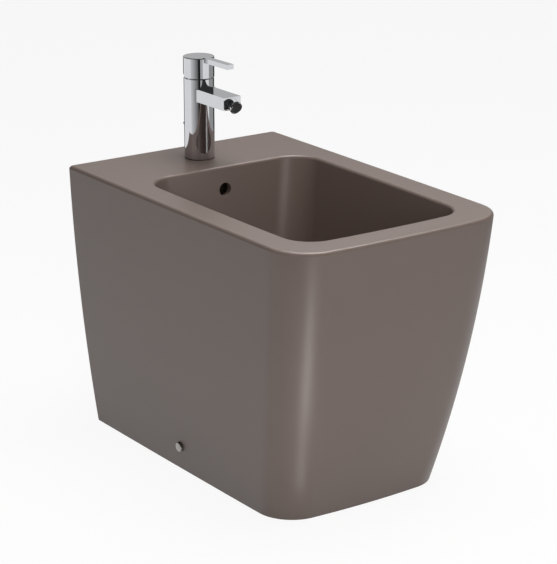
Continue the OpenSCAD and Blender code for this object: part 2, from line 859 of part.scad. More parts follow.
// The ball rod slopes this much at rest, and as much the other way when the knob is up
rod_swing = asin(lift_travel / 2 / rear_arm);
strap_z = pivot_z - rear_arm * tan(rod_swing);
clamp_z0 = pivot_z + lift_travel / 2 + 12;
clamp_h = 12;
module lift_rod() {
    color(CHROME)
        translate([0, rod_y, clamp_z0])
            difference() {
                cylinder(d = lift_d, h = lift_z1 - clamp_z0);
                translate([0, 0, column_z0 + knob_z - clamp_z0])
                    rotate([-90, 0, 0])
                        cylinder(r = stem_d / 2 + thread_gap, h = lift_d);
            }
}
knob_y = tap_y + column_d / 2 + 1;
module lift_knob() {
    color(CHROME)
        translate([0, rod_y, column_z0 + knob_z])
            rotate([-90, 0, 0]) {
                translate([0, 0, free_gap])
                    cylinder(d = stem_d, h = knob_y - rod_y);
                translate([0, 0, knob_y - rod_y])
                    rotate_extrude()
                        polygon([[0, 0], [knob_d / 2 - 0.5, 0], [knob_d / 2, 0.5],
                                 [knob_d / 2, knob_reach + tap_y - knob_y - 1],
                                 [knob_d / 2 - 1, knob_reach + tap_y - knob_y],
                                 [0, knob_reach + tap_y - knob_y]]);
            }
}

block_w = lift_d + 7;
strap_end = 10;
module lift_strap() {
    color(STEEL)
        difference() {
            union() {
                translate([-block_w / 2, rod_y - lift_d / 2 - 2, clamp_z0])
                    cube([block_w, strap_y + strap_t - rod_y + lift_d / 2 + 2, clamp_h]);
                translate([-block_w / 2, strap_y, strap_z - strap_end])
                    cube([block_w, strap_t, clamp_z0 + clamp_h - strap_z + strap_end]);
            }
            translate([0, rod_y, clamp_z0 - over])
                cylinder(r = lift_d / 2 + thread_gap, h = clamp_h + 2 * over);
            translate([-block_w, rod_y, clamp_z0 + clamp_h / 2])
                rotate([0, 90, 0])
                    cylinder(r = 2 + thread_gap, h = block_w);
            translate([0, strap_y - over, strap_z])
                rotate([-90, 0, 0])
                    cylinder(d = rod_d + 1.6, h = strap_t + 2 * over);
        }
}
module strap_screw() {
    color(STEEL)
        translate([-lift_d / 2 - free_gap / 2, rod_y, clamp_z0 + clamp_h / 2])
            rotate([0, -90, 0]) {
                cylinder(d = 4, h = block_w / 2);
                translate([0, 0, block_w / 2])
                    difference() {
                        cylinder(d = 9, h = 5);
                        translate([-0.6, -5, 4])
                            cube([1.2, 10, 2]);
                    }
            }
}

// The ball rod's own frame has its pivot ball at the origin and its back arm along +Y
module at_rod() {
    translate([0, pivot_y, pivot_z])
        rotate([-rod_swing, 0, 0])
            children();
}
pivot_ball_d = 9.4;
rod_tail = 12;
module ball_rod() {
    color(CHROME)
        at_rod() {
            translate([0, -pivot_reach - 2, 0])
                rotate([-90, 0, 0])
                    cylinder(d = rod_d, h = rear_arm + rod_tail + pivot_reach + 2);
            sphere(d = pivot_ball_d);
        }
}
clip_t = 0.8;
clip_gap = 2;
module rod_clip() {
    color(STEEL)
        at_rod()
            for (step = [-clip_gap - clip_t, clip_gap])
                translate([0, rear_arm + step, 0])
                    rotate([-90, 0, 0])
                        ring(10, rod_d + 2 * thread_gap, clip_t);
}

// ---------- Waste ----------
gasket_h = 1.5;
flange_t = 2.5;
flange_z = seat_z + gasket_h;
tail_wall = 2;
waste_wall = 3;
tail_l = 17;
waste_bore = waste_d - 2 * waste_wall;
waste_z1 = flange_z - 4;
waste_z0 = waste_z1 + 1 - waste_l;
port_d = 16;
port_bore = 12;
port_l = 4;
port_y = pivot_y + port_l;
module at_waste(z) {
    translate([0, waste_y, z])
        children();
}
module overflow_slots() {
    for (turn = [45, 135])
        at_waste(duct_low)
            rotate(turn)
                translate([-4, -waste_hole_d / 2, 0])
                    cube([8, waste_hole_d, duct_run_h]);
}
flange_tail_d = waste_d - 3;
module waste_flange() {
    color(CHROME)
        difference() {
            union() {
                at_waste(flange_z)
                    rotate_extrude($fn = 96)
                        polygon([[0, 0], [flange_d / 2, 0], [flange_d / 2, flange_t - 1],
                                 [flange_d / 2 - 1, flange_t], [0, flange_t]]);
                at_waste(flange_z - tail_l)
                    cylinder(d = flange_tail_d, h = tail_l + over);
            }
            at_waste(flange_z - tail_l - over)
                cylinder(d = flange_tail_d - 2 * tail_wall, h = tail_l + flange_t + 2 * over);
        }
}
module flange_gasket() {
    color(RUBBER)
        at_waste(seat_z)
            ring(flange_d - 1, waste_hole_d + 1, gasket_h);
}
module waste_body() {
    color(BRASS)
        difference() {
            union() {
                at_waste(waste_z0)
                    cylinder(d = waste_d, h = waste_z1 - waste_z0, $fn = 96);
                translate([0, port_y, pivot_z])
                    rotate([90, 0, 0])
                        cylinder(d = port_d, h = port_y - waste_y - waste_bore / 2 - 1);
            }
            at_waste(waste_z0 - over)
                cylinder(d = waste_bore, h = waste_l + 2 * over);
            at_waste(flange_z - tail_l)
                cylinder(r = flange_tail_d / 2 + thread_gap, h = waste_l);
            overflow_slots();
            translate([0, waste_y, pivot_z])
                rotate([-90, 0, 0])
                    cylinder(d = rod_d + 4, h = port_y - waste_y);
            translate([0, pivot_y - 5, pivot_z])
                rotate([-90, 0, 0])
                    cylinder(d = port_bore, h = port_l + 6);
        }
}
washer_t = 3;
module waste_washer() {
    color(RUBBER)
        at_waste(boss_z - washer_t)
            ring(waste_hole_d + 14, waste_d + 2 * thread_gap, washer_t);
}
module waste_nut() {
    color(BRASS)
        at_waste(boss_z - washer_t - backnut_h)
            difference() {
                cylinder(d = waste_d + 18, h = backnut_h, $fn = 6);
                translate([0, 0, -over])
                    cylinder(r = waste_d / 2 + thread_gap, h = backnut_h + 2 * over);
            }
}
seat_l = 6;
module pivot_seat() {
    color(WHITE_PLASTIC)
        translate([0, pivot_y - seat_l / 2, pivot_z])
            rotate([-90, 0, 0])
                difference() {
                    cylinder(d = port_bore - 2 * thread_gap, h = seat_l);
                    translate([0, 0, -over])
                        cylinder(d = rod_d + 3, h = seat_l + 2 * over);
                    translate([0, 0, seat_l / 2])
                        sphere(r = pivot_ball_d / 2 + free_gap);
                }
}
pivot_nut_l = 9;
module pivot_nut() {
    color(CHROME)
        translate([0, port_y + 3 - pivot_nut_l, pivot_z])
            rotate([-90, 0, 0])
                difference() {
                    cylinder(d = port_d + 5, h = pivot_nut_l, $fn = 48);
                    translate([0, 0, -over])
                        cylinder(r = port_d / 2 + thread_gap, h = pivot_nut_l - 3 + over);
                    cylinder(d = rod_d + 4, h = pivot_nut_l + over);
                }
}

// Plug, shown open: the front arm of the ball rod holds it up
plug_travel = 2 * pivot_reach * sin(rod_swing);
plug_z = flange_z + flange_t + free_gap + plug_travel;
plug_t = 3.5;
hub_h = 7;
plug_hub_d = flange_tail_d - 2 * tail_wall - 6;
stem_w = 8;
stem_foot = pivot_z + pivot_reach * sin(rod_swing) + rod_d / 2 / cos(rod_swing) + free_gap;
module plug_cap() {
    color(CHROME)
        at_waste(plug_z)
            difference() {
                union() {
                    rotate_extrude($fn = 96)
                        polygon([[0, 0], [plug_d / 2, 0], [plug_d / 2, 1.2], [plug_d / 2 - 1, 2.2],
                                 [plug_d / 3, plug_t - 0.2], [0, plug_t]]);
                    translate([0, 0, -hub_h])
                        cylinder(d = plug_hub_d, h = hub_h + over);
                }
                translate([0, 0, -hub_h + 2])
                    ring(plug_hub_d + 2, plug_hub_d - 3, 3);
                translate([0, 0, -hub_h - over])
                    cylinder(r = stem_w / 2 + thread_gap, h = hub_h);
            }
}
module plug_seal() {
    color(RUBBER)
        at_waste(plug_z - hub_h + 2 + 0.1)
            ring(plug_hub_d + 4, plug_hub_d - 3 + 2 * thread_gap, 2.8);
}
module plug_stem() {
    color(WHITE_PLASTIC)
        at_waste(stem_foot)
            cylinder(d = stem_w, h = plug_z - over - free_gap - stem_foot);
}

// ---------- Bottle trap ----------
nut_wall = 4;
nut_gap = 2 * thread_gap;
pipe_hole = pipe_d + 2 * thread_gap;
seal_t = 3;
flare_t = 2;
inlet_seal_z = waste_z0 - seal_t;
inlet_flare_z = inlet_seal_z - flare_t;
module trap_inlet_seal() {
    color(RUBBER)
        at_waste(inlet_seal_z)
            ring(waste_d - 1, pipe_d - 2 * pipe_t, seal_t);
}
module trap_inlet_nut() {
    color(CHROME)
        at_waste(inlet_flare_z - nut_end)
            difference() {
                cylinder(d = waste_d + 2 * nut_wall, h = inlet_nut_h);
                translate([0, 0, nut_end])
                    cylinder(d = waste_d + nut_gap, h = inlet_nut_h);
                translate([0, 0, -over])
                    cylinder(d = pipe_hole, h = nut_end + 2 * over);
            }
}
cup_floor = 3;
cup_h = 28;
bottle_z0 = cup_z + 16;
bottle_z1 = outlet_z + 20;
bottle_wall = 3;
neck_top = bottle_z1 + 12;
neck_w = pipe_d + 10;
module trap_inlet_pipe() {
    color(CHROME)
        difference() {
            union() {
                at_waste(bottle_z0 + 8)
                    cylinder(d = pipe_d, h = inlet_flare_z + flare_t - bottle_z0 - 8);
                at_waste(inlet_flare_z)
                    cylinder(d = waste_d - 1, h = flare_t);
            }
            at_waste(bottle_z0)
                cylinder(d = pipe_d - 2 * pipe_t, h = inlet_flare_z);
        }
}
branch_d = pipe_d + 6;
branch_y = waste_y + bottle_d / 2 + 14;
pipe_y0 = branch_y - 7;
module along_y(y) {
    translate([0, y, outlet_z])
        rotate([-90, 0, 0])
            children();
}
module trap_body() {
    color(CHROME)
        difference() {
            union() {
                at_waste(bottle_z0)
                    cylinder(d = bottle_d, h = bottle_z1 - bottle_z0, $fn = 96);
                at_waste(bottle_z1 - over)
                    cylinder(d = neck_w, h = neck_top - bottle_z1 + over);
                along_y(waste_y + bottle_d / 2 - 5)
                    cylinder(d = branch_d, h = branch_y - waste_y - bottle_d / 2 + 5);
            }
            at_waste(bottle_z0 - over)
                cylinder(d = bottle_d - 2 * bottle_wall, h = bottle_z1 - bottle_z0 - bottle_wall + over);
            at_waste(bottle_z1 - bottle_wall - over)
                cylinder(d = pipe_hole, h = neck_top);
            along_y(waste_y + bottle_d / 2 - 8)
                cylinder(d = pipe_d - 2 * pipe_t, h = branch_y);
            along_y(pipe_y0)
                cylinder(d = pipe_hole, h = branch_y);
        }
}
module trap_top_seal() {
    color(RUBBER)
        at_waste(neck_top)
            ring(neck_w - 1, pipe_hole, seal_t);
}
module trap_top_nut() {
    color(CHROME)
        at_waste(neck_top + seal_t + nut_end - top_nut_h)
            difference() {
                cylinder(d = neck_w + 2 * nut_wall, h = top_nut_h);
                translate([0, 0, -over])
                    cylinder(d = neck_w + nut_gap, h = top_nut_h - nut_end + over);
                cylinder(d = pipe_hole, h = top_nut_h + over);
            }
}
module trap_cup() {
    color(CHROME)
        at_waste(cup_z)
            difference() {
                cylinder(d = bottle_d + 7, h = cup_h, $fn = 96);
                translate([0, 0, bottle_z0 - cup_z - seal_t])
                    cylinder(d = bottle_d + nut_gap, h = cup_h);
                translate([0, 0, cup_floor])
                    cylinder(d = bottle_d - 2 * bottle_wall, h = cup_h);
            }
}
module trap_cup_seal() {
    color(RUBBER)
        at_waste(bottle_z0 - seal_t)
            ring(bottle_d - 0.4, bottle_d - 2 * bottle_wall, seal_t);
}
module trap_outlet_seal() {
    color(RUBBER)
        along_y(branch_y)
            ring(branch_d - 0.4, pipe_hole, seal_t);
}
module trap_outlet_nut() {
    color(CHROME)
        along_y(branch_y + seal_t + nut_end - outlet_nut_l)
            difference() {
                cylinder(d = branch_d + 2 * nut_wall + 2, h = outlet_nut_l);
                translate([0, 0, -over])
                    cylinder(d = branch_d + nut_gap, h = outlet_nut_l - nut_end + over);
                cylinder(d = pipe_hole, h = outlet_nut_l + over);
            }
}
// The outlet pipe has a rolled bead that stops it in the wall's socket
bead_t = 3;
bead_d = pipe_d + 3;
module outlet_pipe() {
    color(CHROME)
        difference() {
            union() {
                along_y(pipe_y0)
                    cylinder(d = pipe_d, h = wall_y - outlet_gap - pipe_y0);
                along_y(wall_y - outlet_gap - spigot_l - bead_t)
                    cylinder(d = bead_d, h = bead_t);
            }
            along_y(pipe_y0 - over)
                cylinder(d = pipe_d - 2 * pipe_t, h = wall_y - pipe_y0 + 2 * over);
        }
}

// ---------- Floor fixing ----------
bracket_foot = 42;
nut_boss = 8;
module floor_bracket() {
    color(STEEL)
        difference() {
            union() {
                translate([bracket_x0, screw_y - bracket_w / 2, 0])
                    cube([bracket_t, bracket_w, bracket_h]);
                translate([bracket_x1 - bracket_foot, screw_y - bracket_w / 2, 0])
                    cube([bracket_foot, bracket_w, bracket_t]);
                along_x(bracket_x0 - nut_boss)
                    cylinder(d = screw_d + 8, h = nut_boss + 1);
            }
            along_x(bracket_x0 - nut_boss - over)
                cylinder(r = screw_d / 2 + thread_gap, h = nut_boss + bracket_t + 2 * over);
            translate([bracket_x1 - floor_screw_in, screw_y, -over])
                cylinder(d = floor_screw_d, h = bracket_t + 2 * over);
        }
}
module floor_bracket_right() {
    floor_bracket();
}
module floor_bracket_left() {
    mirror([1, 0, 0])
        floor_bracket();
}
bush_x0 = bracket_x1 + free_gap + 0.2;
head_h = 3;
head_d = screw_d + 4;
module side_bushes() {
    color(WHITE_PLASTIC)
        both_sides()
            along_x(bush_x0)
                difference() {
                    union() {
                        cylinder(d = bush_d, h = cap_seat_x - bush_x0 + 0.5);
                        translate([0, 0, cap_seat_x - bush_x0])
                            cylinder(d = head_d + 0.8, h = bush_flange_t);
                    }
                    translate([0, 0, -over])
                        cylinder(r = screw_d / 2 + thread_gap,
                                 h = cap_seat_x + bush_flange_t - bush_x0 + 2 * over);
                }
}
module side_screws() {
    color(STEEL)
        both_sides()
            difference() {
                union() {
                    along_x(bracket_x0 - nut_boss)
                        cylinder(d = screw_d, h = cap_seat_x + bush_flange_t - bracket_x0 + nut_boss + 1);
                    along_x(cap_seat_x + bush_flange_t)
                        cylinder(d = head_d, h = head_h);
                }
                along_x(cap_seat_x + bush_flange_t + 1)
                    cylinder(d = screw_d, h = 10, $fn = 6);
            }
}
module side_caps() {
    color(CHROME)
        both_sides()
            along_x(cap_seat_x)
                difference() {
                    rotate_extrude()
                        polygon([[0, 0], [cap_d / 2, 0], [cap_d / 2, cap_h - 1.2],
                                 [cap_d / 2 - 0.4, cap_h - 0.4], [cap_d / 2 - 1.2, cap_h], [0, cap_h]]);
                    translate([0, 0, -over])
                        cylinder(r = head_d / 2 + 0.4 + thread_gap, h = cap_h - 1.2 + over);
                }
}

ceramic_body();
tap_gasket();
tap_body();
cartridge_body();
fixed_disc();
moving_disc();
cartridge_carrier();
tilt_pin();
spindle();
cartridge_nut();
dome_ring();
tap_handle();
handle_screw();
handle_plug();
nozzle_adapter();
nozzle_ring();
nozzle_housing();
aerator();
mounting_stud();
clamp_rubber();
clamp_plate();
clamp_nut();
lift_rod();
lift_knob();
lift_strap();
strap_screw();
rod_clip();
ball_rod();
pivot_nut();
pivot_seat();
waste_flange();
flange_gasket();
waste_body();
waste_washer();
waste_nut();
plug_cap();
plug_seal();
plug_stem();
trap_inlet_nut();
trap_inlet_seal();
trap_inlet_pipe();
trap_body();
trap_top_nut();
trap_top_seal();
trap_cup();
trap_cup_seal();
trap_outlet_nut();
trap_outlet_seal();
outlet_pipe();
floor_bracket_left();
floor_bracket_right();
side_screws();
side_bushes();
side_caps();
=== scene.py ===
# Floor standing bidet: glazed body, chromed single lever tap, pop-up waste and bottle trap.
# Metres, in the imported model's frame: +Z up, +Y towards the wall, the floor at z = 0.
import bpy
import bmesh
import math
from mathutils import Matrix, Vector


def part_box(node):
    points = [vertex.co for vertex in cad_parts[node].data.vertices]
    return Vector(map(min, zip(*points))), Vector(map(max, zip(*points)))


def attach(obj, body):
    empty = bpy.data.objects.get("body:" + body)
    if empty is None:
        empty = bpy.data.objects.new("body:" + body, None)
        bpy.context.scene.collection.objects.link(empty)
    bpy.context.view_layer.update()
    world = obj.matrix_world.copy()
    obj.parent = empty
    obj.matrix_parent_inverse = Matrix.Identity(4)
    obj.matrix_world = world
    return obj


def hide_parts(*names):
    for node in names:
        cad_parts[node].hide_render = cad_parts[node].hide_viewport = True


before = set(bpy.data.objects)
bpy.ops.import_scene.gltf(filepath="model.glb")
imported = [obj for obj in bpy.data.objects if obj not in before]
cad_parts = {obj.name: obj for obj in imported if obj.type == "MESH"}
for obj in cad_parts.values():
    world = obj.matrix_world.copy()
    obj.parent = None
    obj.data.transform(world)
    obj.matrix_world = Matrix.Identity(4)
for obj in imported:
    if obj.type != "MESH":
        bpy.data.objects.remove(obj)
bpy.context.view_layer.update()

# ---------------------------------------------------------------- camera and studio
# The camera stands in front of the bidet and to its left, a little above the tap, and looks down.
# The floor and the sky are white to the camera and in reflections, and the floor takes a faint
# shadow. The lamps are large and soft, and grey and black cards show only in the chrome's gloss.
scene = bpy.context.scene
scene.view_settings.view_transform = "Standard"

camera = bpy.data.objects.new("camera", bpy.data.cameras.new("camera"))
camera.data.lens = 137.10
camera.data.sensor_width = 36.0
camera.location = (-1.6522, -2.3372, 1.1904)
camera.rotation_euler = (math.radians(72.067), 0, math.radians(-35.135))
scene.collection.objects.link(camera)
scene.camera = camera

CAMERA_WHITE = 1.0  # strength that renders as white
SKY_LEVEL = 0.80  # light that the sky gives to the object
sky = bpy.data.worlds.new("sky")
sky.use_nodes = True
scene.world = sky
nodes, links = sky.node_tree.nodes, sky.node_tree.links
level = nodes.new("ShaderNodeMix")
level.data_type = "FLOAT"
level.inputs[2].default_value = SKY_LEVEL
level.inputs[3].default_value = CAMERA_WHITE


def seen_directly(nodes, links):
    """1 for a ray of the camera, a reflection or glass, and 0 for a ray that gathers light."""
    rays = nodes.new("ShaderNodeLightPath")
    total = rays.outputs["Is Camera Ray"]
    for kind in ("Is Glossy Ray", "Is Transmission Ray"):
        larger = nodes.new("ShaderNodeMath")
        larger.operation = "MAXIMUM"
        links.new(total, larger.inputs[0])
        links.new(rays.outputs[kind], larger.inputs[1])
        total = larger.outputs[0]
    return total


links.new(seen_directly(nodes, links), level.inputs[0])
links.new(level.outputs[0], nodes["Background"].inputs["Strength"])


def lamp(name, place, aim, size, power):
    light = bpy.data.lights.new(name, "AREA")
    light.shape = "RECTANGLE"
    light.size, light.size_y = size
    light.energy = power
    holder = bpy.data.objects.new(name, light)
    holder.location = place
    holder.rotation_euler = (Vector(aim) - Vector(place)).to_track_quat("-Z", "Y").to_euler()
    holder.visible_camera = False
    scene.collection.objects.link(holder)
    return holder


top = lamp("top_lamp", (0.22, -0.35, 2.4), (0.02, -0.25, 0.3), (1.5, 1.5), 51)
front = lamp("front_lamp", (-1.45, -2.9, 1.1), (0, 0, 0.3), (0.6, 1.8), 39)
top.visible_glossy = front.visible_glossy = False
# These show only in the glaze's gloss. A strip in the basin and two on the floor put a soft band
# down each rounded corner, and a lamp behind and one overhead lift the rim
strips = (lamp("floor_strip_far", (-0.245, -0.62, 0.002), (-0.245, -0.62, 1), (0.09, 0.50), 0.85),
          lamp("floor_strip_near", (-0.150, -0.315, 0.002), (-0.150, -0.315, 1), (0.030, 0.15), 0.034),
          lamp("basin_strip", (0.085, -0.205, 0.325), (0.095, 0.09, 0.325), (0.07, 0.13), 0.14),
          lamp("back_lamp", (2.0, 2.87, 1.7), (0, -0.1, 0.4), (3.4, 2.0), 33),
          lamp("rim_lamp", (0.5, 0.2, 2.4), (0.02, -0.25, 0.3), (1.5, 1.5), 62))
for strip in strips[:2]:
    strip.rotation_euler = (math.radians(180), 0, math.radians(-17))
lit_by_strips = bpy.data.collections.new("lit_by_strips")
for strip in strips:
    strip.visible_diffuse = False
    strip.light_linking.receiver_collection = lit_by_strips

floor_mesh = bpy.data.meshes.new("floor")
bm = bmesh.new()
bmesh.ops.create_grid(bm, x_segments=1, y_segments=1, size=9.0)
bm.to_mesh(floor_mesh)
bm.free()
floor = bpy.data.objects.new("floor", floor_mesh)
floor.location.z = -0.0005
scene.collection.objects.link(floor)
paper = bpy.data.materials.new("paper")
paper.use_nodes = True
nodes, links = paper.node_tree.nodes, paper.node_tree.links
WHITE_SHARE = 0.92  # the rest of the floor's white is lit, and shows the shadow
glow = nodes.new("ShaderNodeEmission")
glow.inputs["Strength"].default_value = CAMERA_WHITE
blend = nodes.new("ShaderNodeMixShader")
share = nodes.new("ShaderNodeMath")
share.operation = "MULTIPLY"
share.inputs[1].default_value = WHITE_SHARE
links.new(seen_directly(nodes, links), share.inputs[0])
links.new(share.outputs[0], blend.inputs[0])
nodes["Principled BSDF"].inputs["Base Color"].default_value = (0.9, 0.9, 0.9, 1)
nodes["Principled BSDF"].inputs["Roughness"].default_value = 0.9
links.new(nodes["Principled BSDF"].outputs[0], blend.inputs[1])
links.new(glow.outputs[0], blend.inputs[2])
links.new(blend.outputs[0], nodes["Material Output"].inputs["Surface"])
floor_mesh.materials.append(paper)

CARD_R = 1.1  # from the tap's axis to the cards


def card(name, start, end, low, high, shade):
    """Bent card from one bearing to another, in degrees to the right of the camera's own."""
    bm = bmesh.new()
    foot, top = (bm.verts.new((CARD_R, 0, z)) for z in (low, high))
    edge = bm.edges.new((foot, top))
    bmesh.ops.rotate(bm, cent=(0, 0, 0), matrix=Matrix.Rotation(math.radians(start - 123), 3, "Z"),
                     verts=bm.verts)
    bmesh.ops.spin(bm, geom=[foot, top, edge], cent=(0, 0, 0), axis=(0, 0, 1), dvec=(0, 0, 0),
                   angle=math.radians(end - start), steps=8)
    bmesh.ops.translate(bm, vec=(0, 0.21, 0), verts=bm.verts)
    mesh = bpy.data.meshes.new(name)
    bm.to_mesh(mesh)
    bm.free()
    matt = bpy.data.materials.new(name)
    matt.use_nodes = True
    matt.node_tree.nodes.clear()
    tone = matt.node_tree.nodes.new("ShaderNodeEmission")
    tone.inputs["Strength"].default_value = shade
    output = matt.node_tree.nodes.new("ShaderNodeOutputMaterial")
    matt.node_tree.links.new(tone.outputs[0], output.inputs["Surface"])
    mesh.materials.append(matt)
    made = bpy.data.objects.new(name, mesh)
    made.visible_camera = made.visible_diffuse = made.visible_shadow = False
    made.visible_transmission = made.visible_volume_scatter = False
    scene.collection.objects.link(made)


card("card_behind", 132, 214, 0.0, 0.62, 0.03)
card("card_over", 140, 220, 0.66, 1.20, 0.52)
for i in range(7):
    card(f"card_left_{i}", -62 + 58 * i / 7, -62 + 58 * (i + 1) / 7, 0.0, 0.62, 0.72 - 0.095 * i)
card("card_black", -4, 11, 0.0, 0.62, 0.01)
card("card_near_right", 11, 30, 0.0, 0.62, 0.50)
card("card_right", 80, 132, 0.0, 0.62, 0.38)

# ---------------------------------------------------------------- ceramic body
# One hollow piece of slip-cast fireclay, glazed satin brown outside and in the basin, and left
# raw inside. Its walls come in with depth, and the overflow duct is cast behind the basin.
low, high = (Vector(corner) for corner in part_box("ceramic_body"))
BODY_W, BODY_H = high.x - low.x, high.z
WALL_Y, FRONT_Y = high.y, low.y
SIDE_DRAW, FRONT_DRAW = 0.037, 0.080
SIDE_SHARE, FRONT_SHARE = 0.4, 0.55
SIDE_BOW, FRONT_BOW = 0.0038, 0.003
CORNER_R, CORNER_LOSS, BACK_R = 0.060, 0.006, 0.004
EDGE_R, LIP_R = 0.005, 0.004
WALL_T, DECK_T = 0.011, 0.014
BASIN_W, BASIN_DEPTH = 0.273, 0.167
BASIN_FRONT, BASIN_BACK = 0.045, 0.135
BASIN_R, FOOT_R, FLOOR_RISE = 0.042, 0.016, 0.013
SIDE_LEAN, FRONT_LEAN, BACK_LEAN = 0.105, 0.12, 0.04
BASIN_SIDE_BOW, BASIN_BACK_BOW, BASIN_FRONT_BOW = 0.0036, 0.001, 0.002
WASTE = Vector((0, WALL_Y - BASIN_BACK - 0.085, BODY_H - BASIN_DEPTH))
TAP = Vector((0, WALL_Y - 0.070, BODY_H))
CURVE_STEPS = 16


def curve_in(share_down, first):
    """Share of the draw at a share of the height, where first is the part that is straight."""
    return first * share_down + (1 - first) * share_down**2


def arc(x, y, radius, start, end, steps):
    """Points of an arc about (x, y), from one angle to another in degrees."""
    angles = (math.radians(start + (end - start) * i / steps) for i in range(steps + 1))
    return [(x + radius * math.cos(a), y + radius * math.sin(a)) for a in angles]


def bow(y, front, widest, back, front_in, back_in):
    """How far a bowed side lies inside its widest place, at y."""
    if y < widest:
        return front_in * ((widest - y) / (widest - front)) ** 2
    if back > widest:
        return back_in * ((y - widest) / (back - widest)) ** 2
    return 0.0


def plan(half_w, front, back, front_r, back_r, widest, bows):
    """Closed outline, seen from above: half_w is the half width at the widest place."""
    side_in, back_in, front_out = bows

    def side(y):
        return half_w - bow(y, front, widest, back, side_in, back_in)

    back_x, front_x = side(back - back_r) - back_r, side(front + front_r) - front_r
    half = arc(back_x, back - back_r, back_r, 90, 0, CURVE_STEPS)
    for i in range(1, 2 * CURVE_STEPS):
        y = back - back_r + (front + front_r - back + back_r) * i / (2 * CURVE_STEPS)
        half.append((side(y), y))
    half += arc(front_x, front + front_out + front_r, front_r, 0, -90, CURVE_STEPS)
    for i in range(1, CURVE_STEPS):
        x = front_x * (1 - i / CURVE_STEPS)
        half.append((x, front + front_out * (x / front_x) ** 2))
    return half + [(0.0, front)] + [(-x, y) for x, y in reversed(half)]


def outer_plan(z, inset, back):
    down = max(0.0, BODY_H - EDGE_R - z) / (BODY_H - EDGE_R)
    front = FRONT_Y + FRONT_DRAW * curve_in(down, FRONT_SHARE) + inset
    half_w = BODY_W / 2 - SIDE_DRAW * curve_in(down, SIDE_SHARE) - inset
    radius = CORNER_R - CORNER_LOSS * down - inset
    return plan(half_w, front, back, radius, BACK_R, WALL_Y, (SIDE_BOW, 0, FRONT_BOW))


def basin_plan(z, wider):
    depth = BODY_H - z
    front = FRONT_Y + BASIN_FRONT + FRONT_LEAN * depth - wider
    back = WALL_Y - BASIN_BACK - BACK_LEAN * depth + wider
    half_w = BASIN_W / 2 - SIDE_LEAN * depth + wider
    return plan(half_w, front, back, BASIN_R + wider, BASIN_R + wider, WALL_Y - BASIN_BACK - 0.105,
                (BASIN_SIDE_BOW, BASIN_BACK_BOW, BASIN_FRONT_BOW))


def waste_plan(r):
    return plan(r, WASTE.y - r, WASTE.y + r, r * 0.95, r * 0.95, WASTE.y, (0, 0, 0))


def between(first, last, share):
    return [(a[0] + (b[0] - a[0]) * share, a[1] + (b[1] - a[1]) * share) for a, b in zip(first, last)]


def piece(name, bm, *materials):
    bmesh.ops.recalc_face_normals(bm, faces=bm.faces)
    mesh = bpy.data.meshes.new(name)
    bm.to_mesh(mesh)
    bm.free()
    for material in materials:
        mesh.materials.append(material)
    made = bpy.data.objects.new(name, mesh)
    scene.collection.objects.link(made)
    return made


def loft(name, rings, *materials):
    """Closed solid through a list of (height, outline), bridged loop by loop."""
    bm = bmesh.new()
    last = None
    for height, outline in rings:
        verts = [bm.verts.new((x, y, height)) for x, y in outline]
        edges = [bm.edges.new((verts[i - 1], verts[i])) for i in range(len(verts))]
        if last is None:
            bmesh.ops.contextual_create(bm, geom=edges)
        else:
            bmesh.ops.bridge_loops(bm, edges=last + edges)
        last = edges
    bmesh.ops.contextual_create(bm, geom=last)
    return piece(name, bm, *materials)


def block(name, corner_a, corner_b, *materials):
    bm = bmesh.new()
    a, b = Vector(corner_a), Vector(corner_b)
    bmesh.ops.create_cube(bm, size=1.0)
    bmesh.ops.scale(bm, vec=b - a, verts=bm.verts)
    bmesh.ops.translate(bm, vec=(a + b) / 2, verts=bm.verts)
    return piece(name, bm, *materials)


def rod(name, start, end, radius, *materials, sides=64):
    bm = bmesh.new()
    a, b = Vector(start), Vector(end)
    bmesh.ops.create_cone(bm, cap_ends=True, segments=sides, radius1=radius, radius2=radius,
                          depth=(b - a).length)
    turn = (b - a).to_track_quat("Z", "Y").to_matrix().to_4x4()
    bmesh.ops.transform(bm, matrix=Matrix.Translation((a + b) / 2) @ turn, verts=bm.verts)
    return piece(name, bm, *materials)


JOIN_WITHIN = 0.000002  # corners of a cut nearer than this are one


def cut(target, *tools, how="DIFFERENCE"):
    """Cuts each tool out of the target, or joins or keeps it, and removes the tool."""
    for tool in tools:
        change = target.modifiers.new("cut", "BOOLEAN")
        change.object = tool
        change.operation = how
        change.solver = "EXACT"
        change.material_mode = "TRANSFER"
        result = target.evaluated_get(bpy.context.evaluated_depsgraph_get())
        mesh = bpy.data.meshes.new_from_object(result)
        bm = bmesh.new()
        bm.from_mesh(mesh)
        bmesh.ops.remove_doubles(bm, verts=bm.verts, dist=JOIN_WITHIN)
        bmesh.ops.dissolve_degenerate(bm, edges=bm.edges, dist=JOIN_WITHIN)
        bm.to_mesh(mesh)
        bm.free()
        target.modifiers.clear()
        target.data = mesh
        bpy.data.objects.remove(tool)
    target.data.name = target.name
    return target


def smooth(made, angle=35):
    """Shades the curved faces smooth and keeps the edges sharper than the angle."""
    made.data.shade_smooth()
    made.data.set_sharp_from_angle(angle=math.radians(angle))
    even = made.modifiers.new("even_shading", "WEIGHTED_NORMAL")
    even.keep_sharp = True
    return made


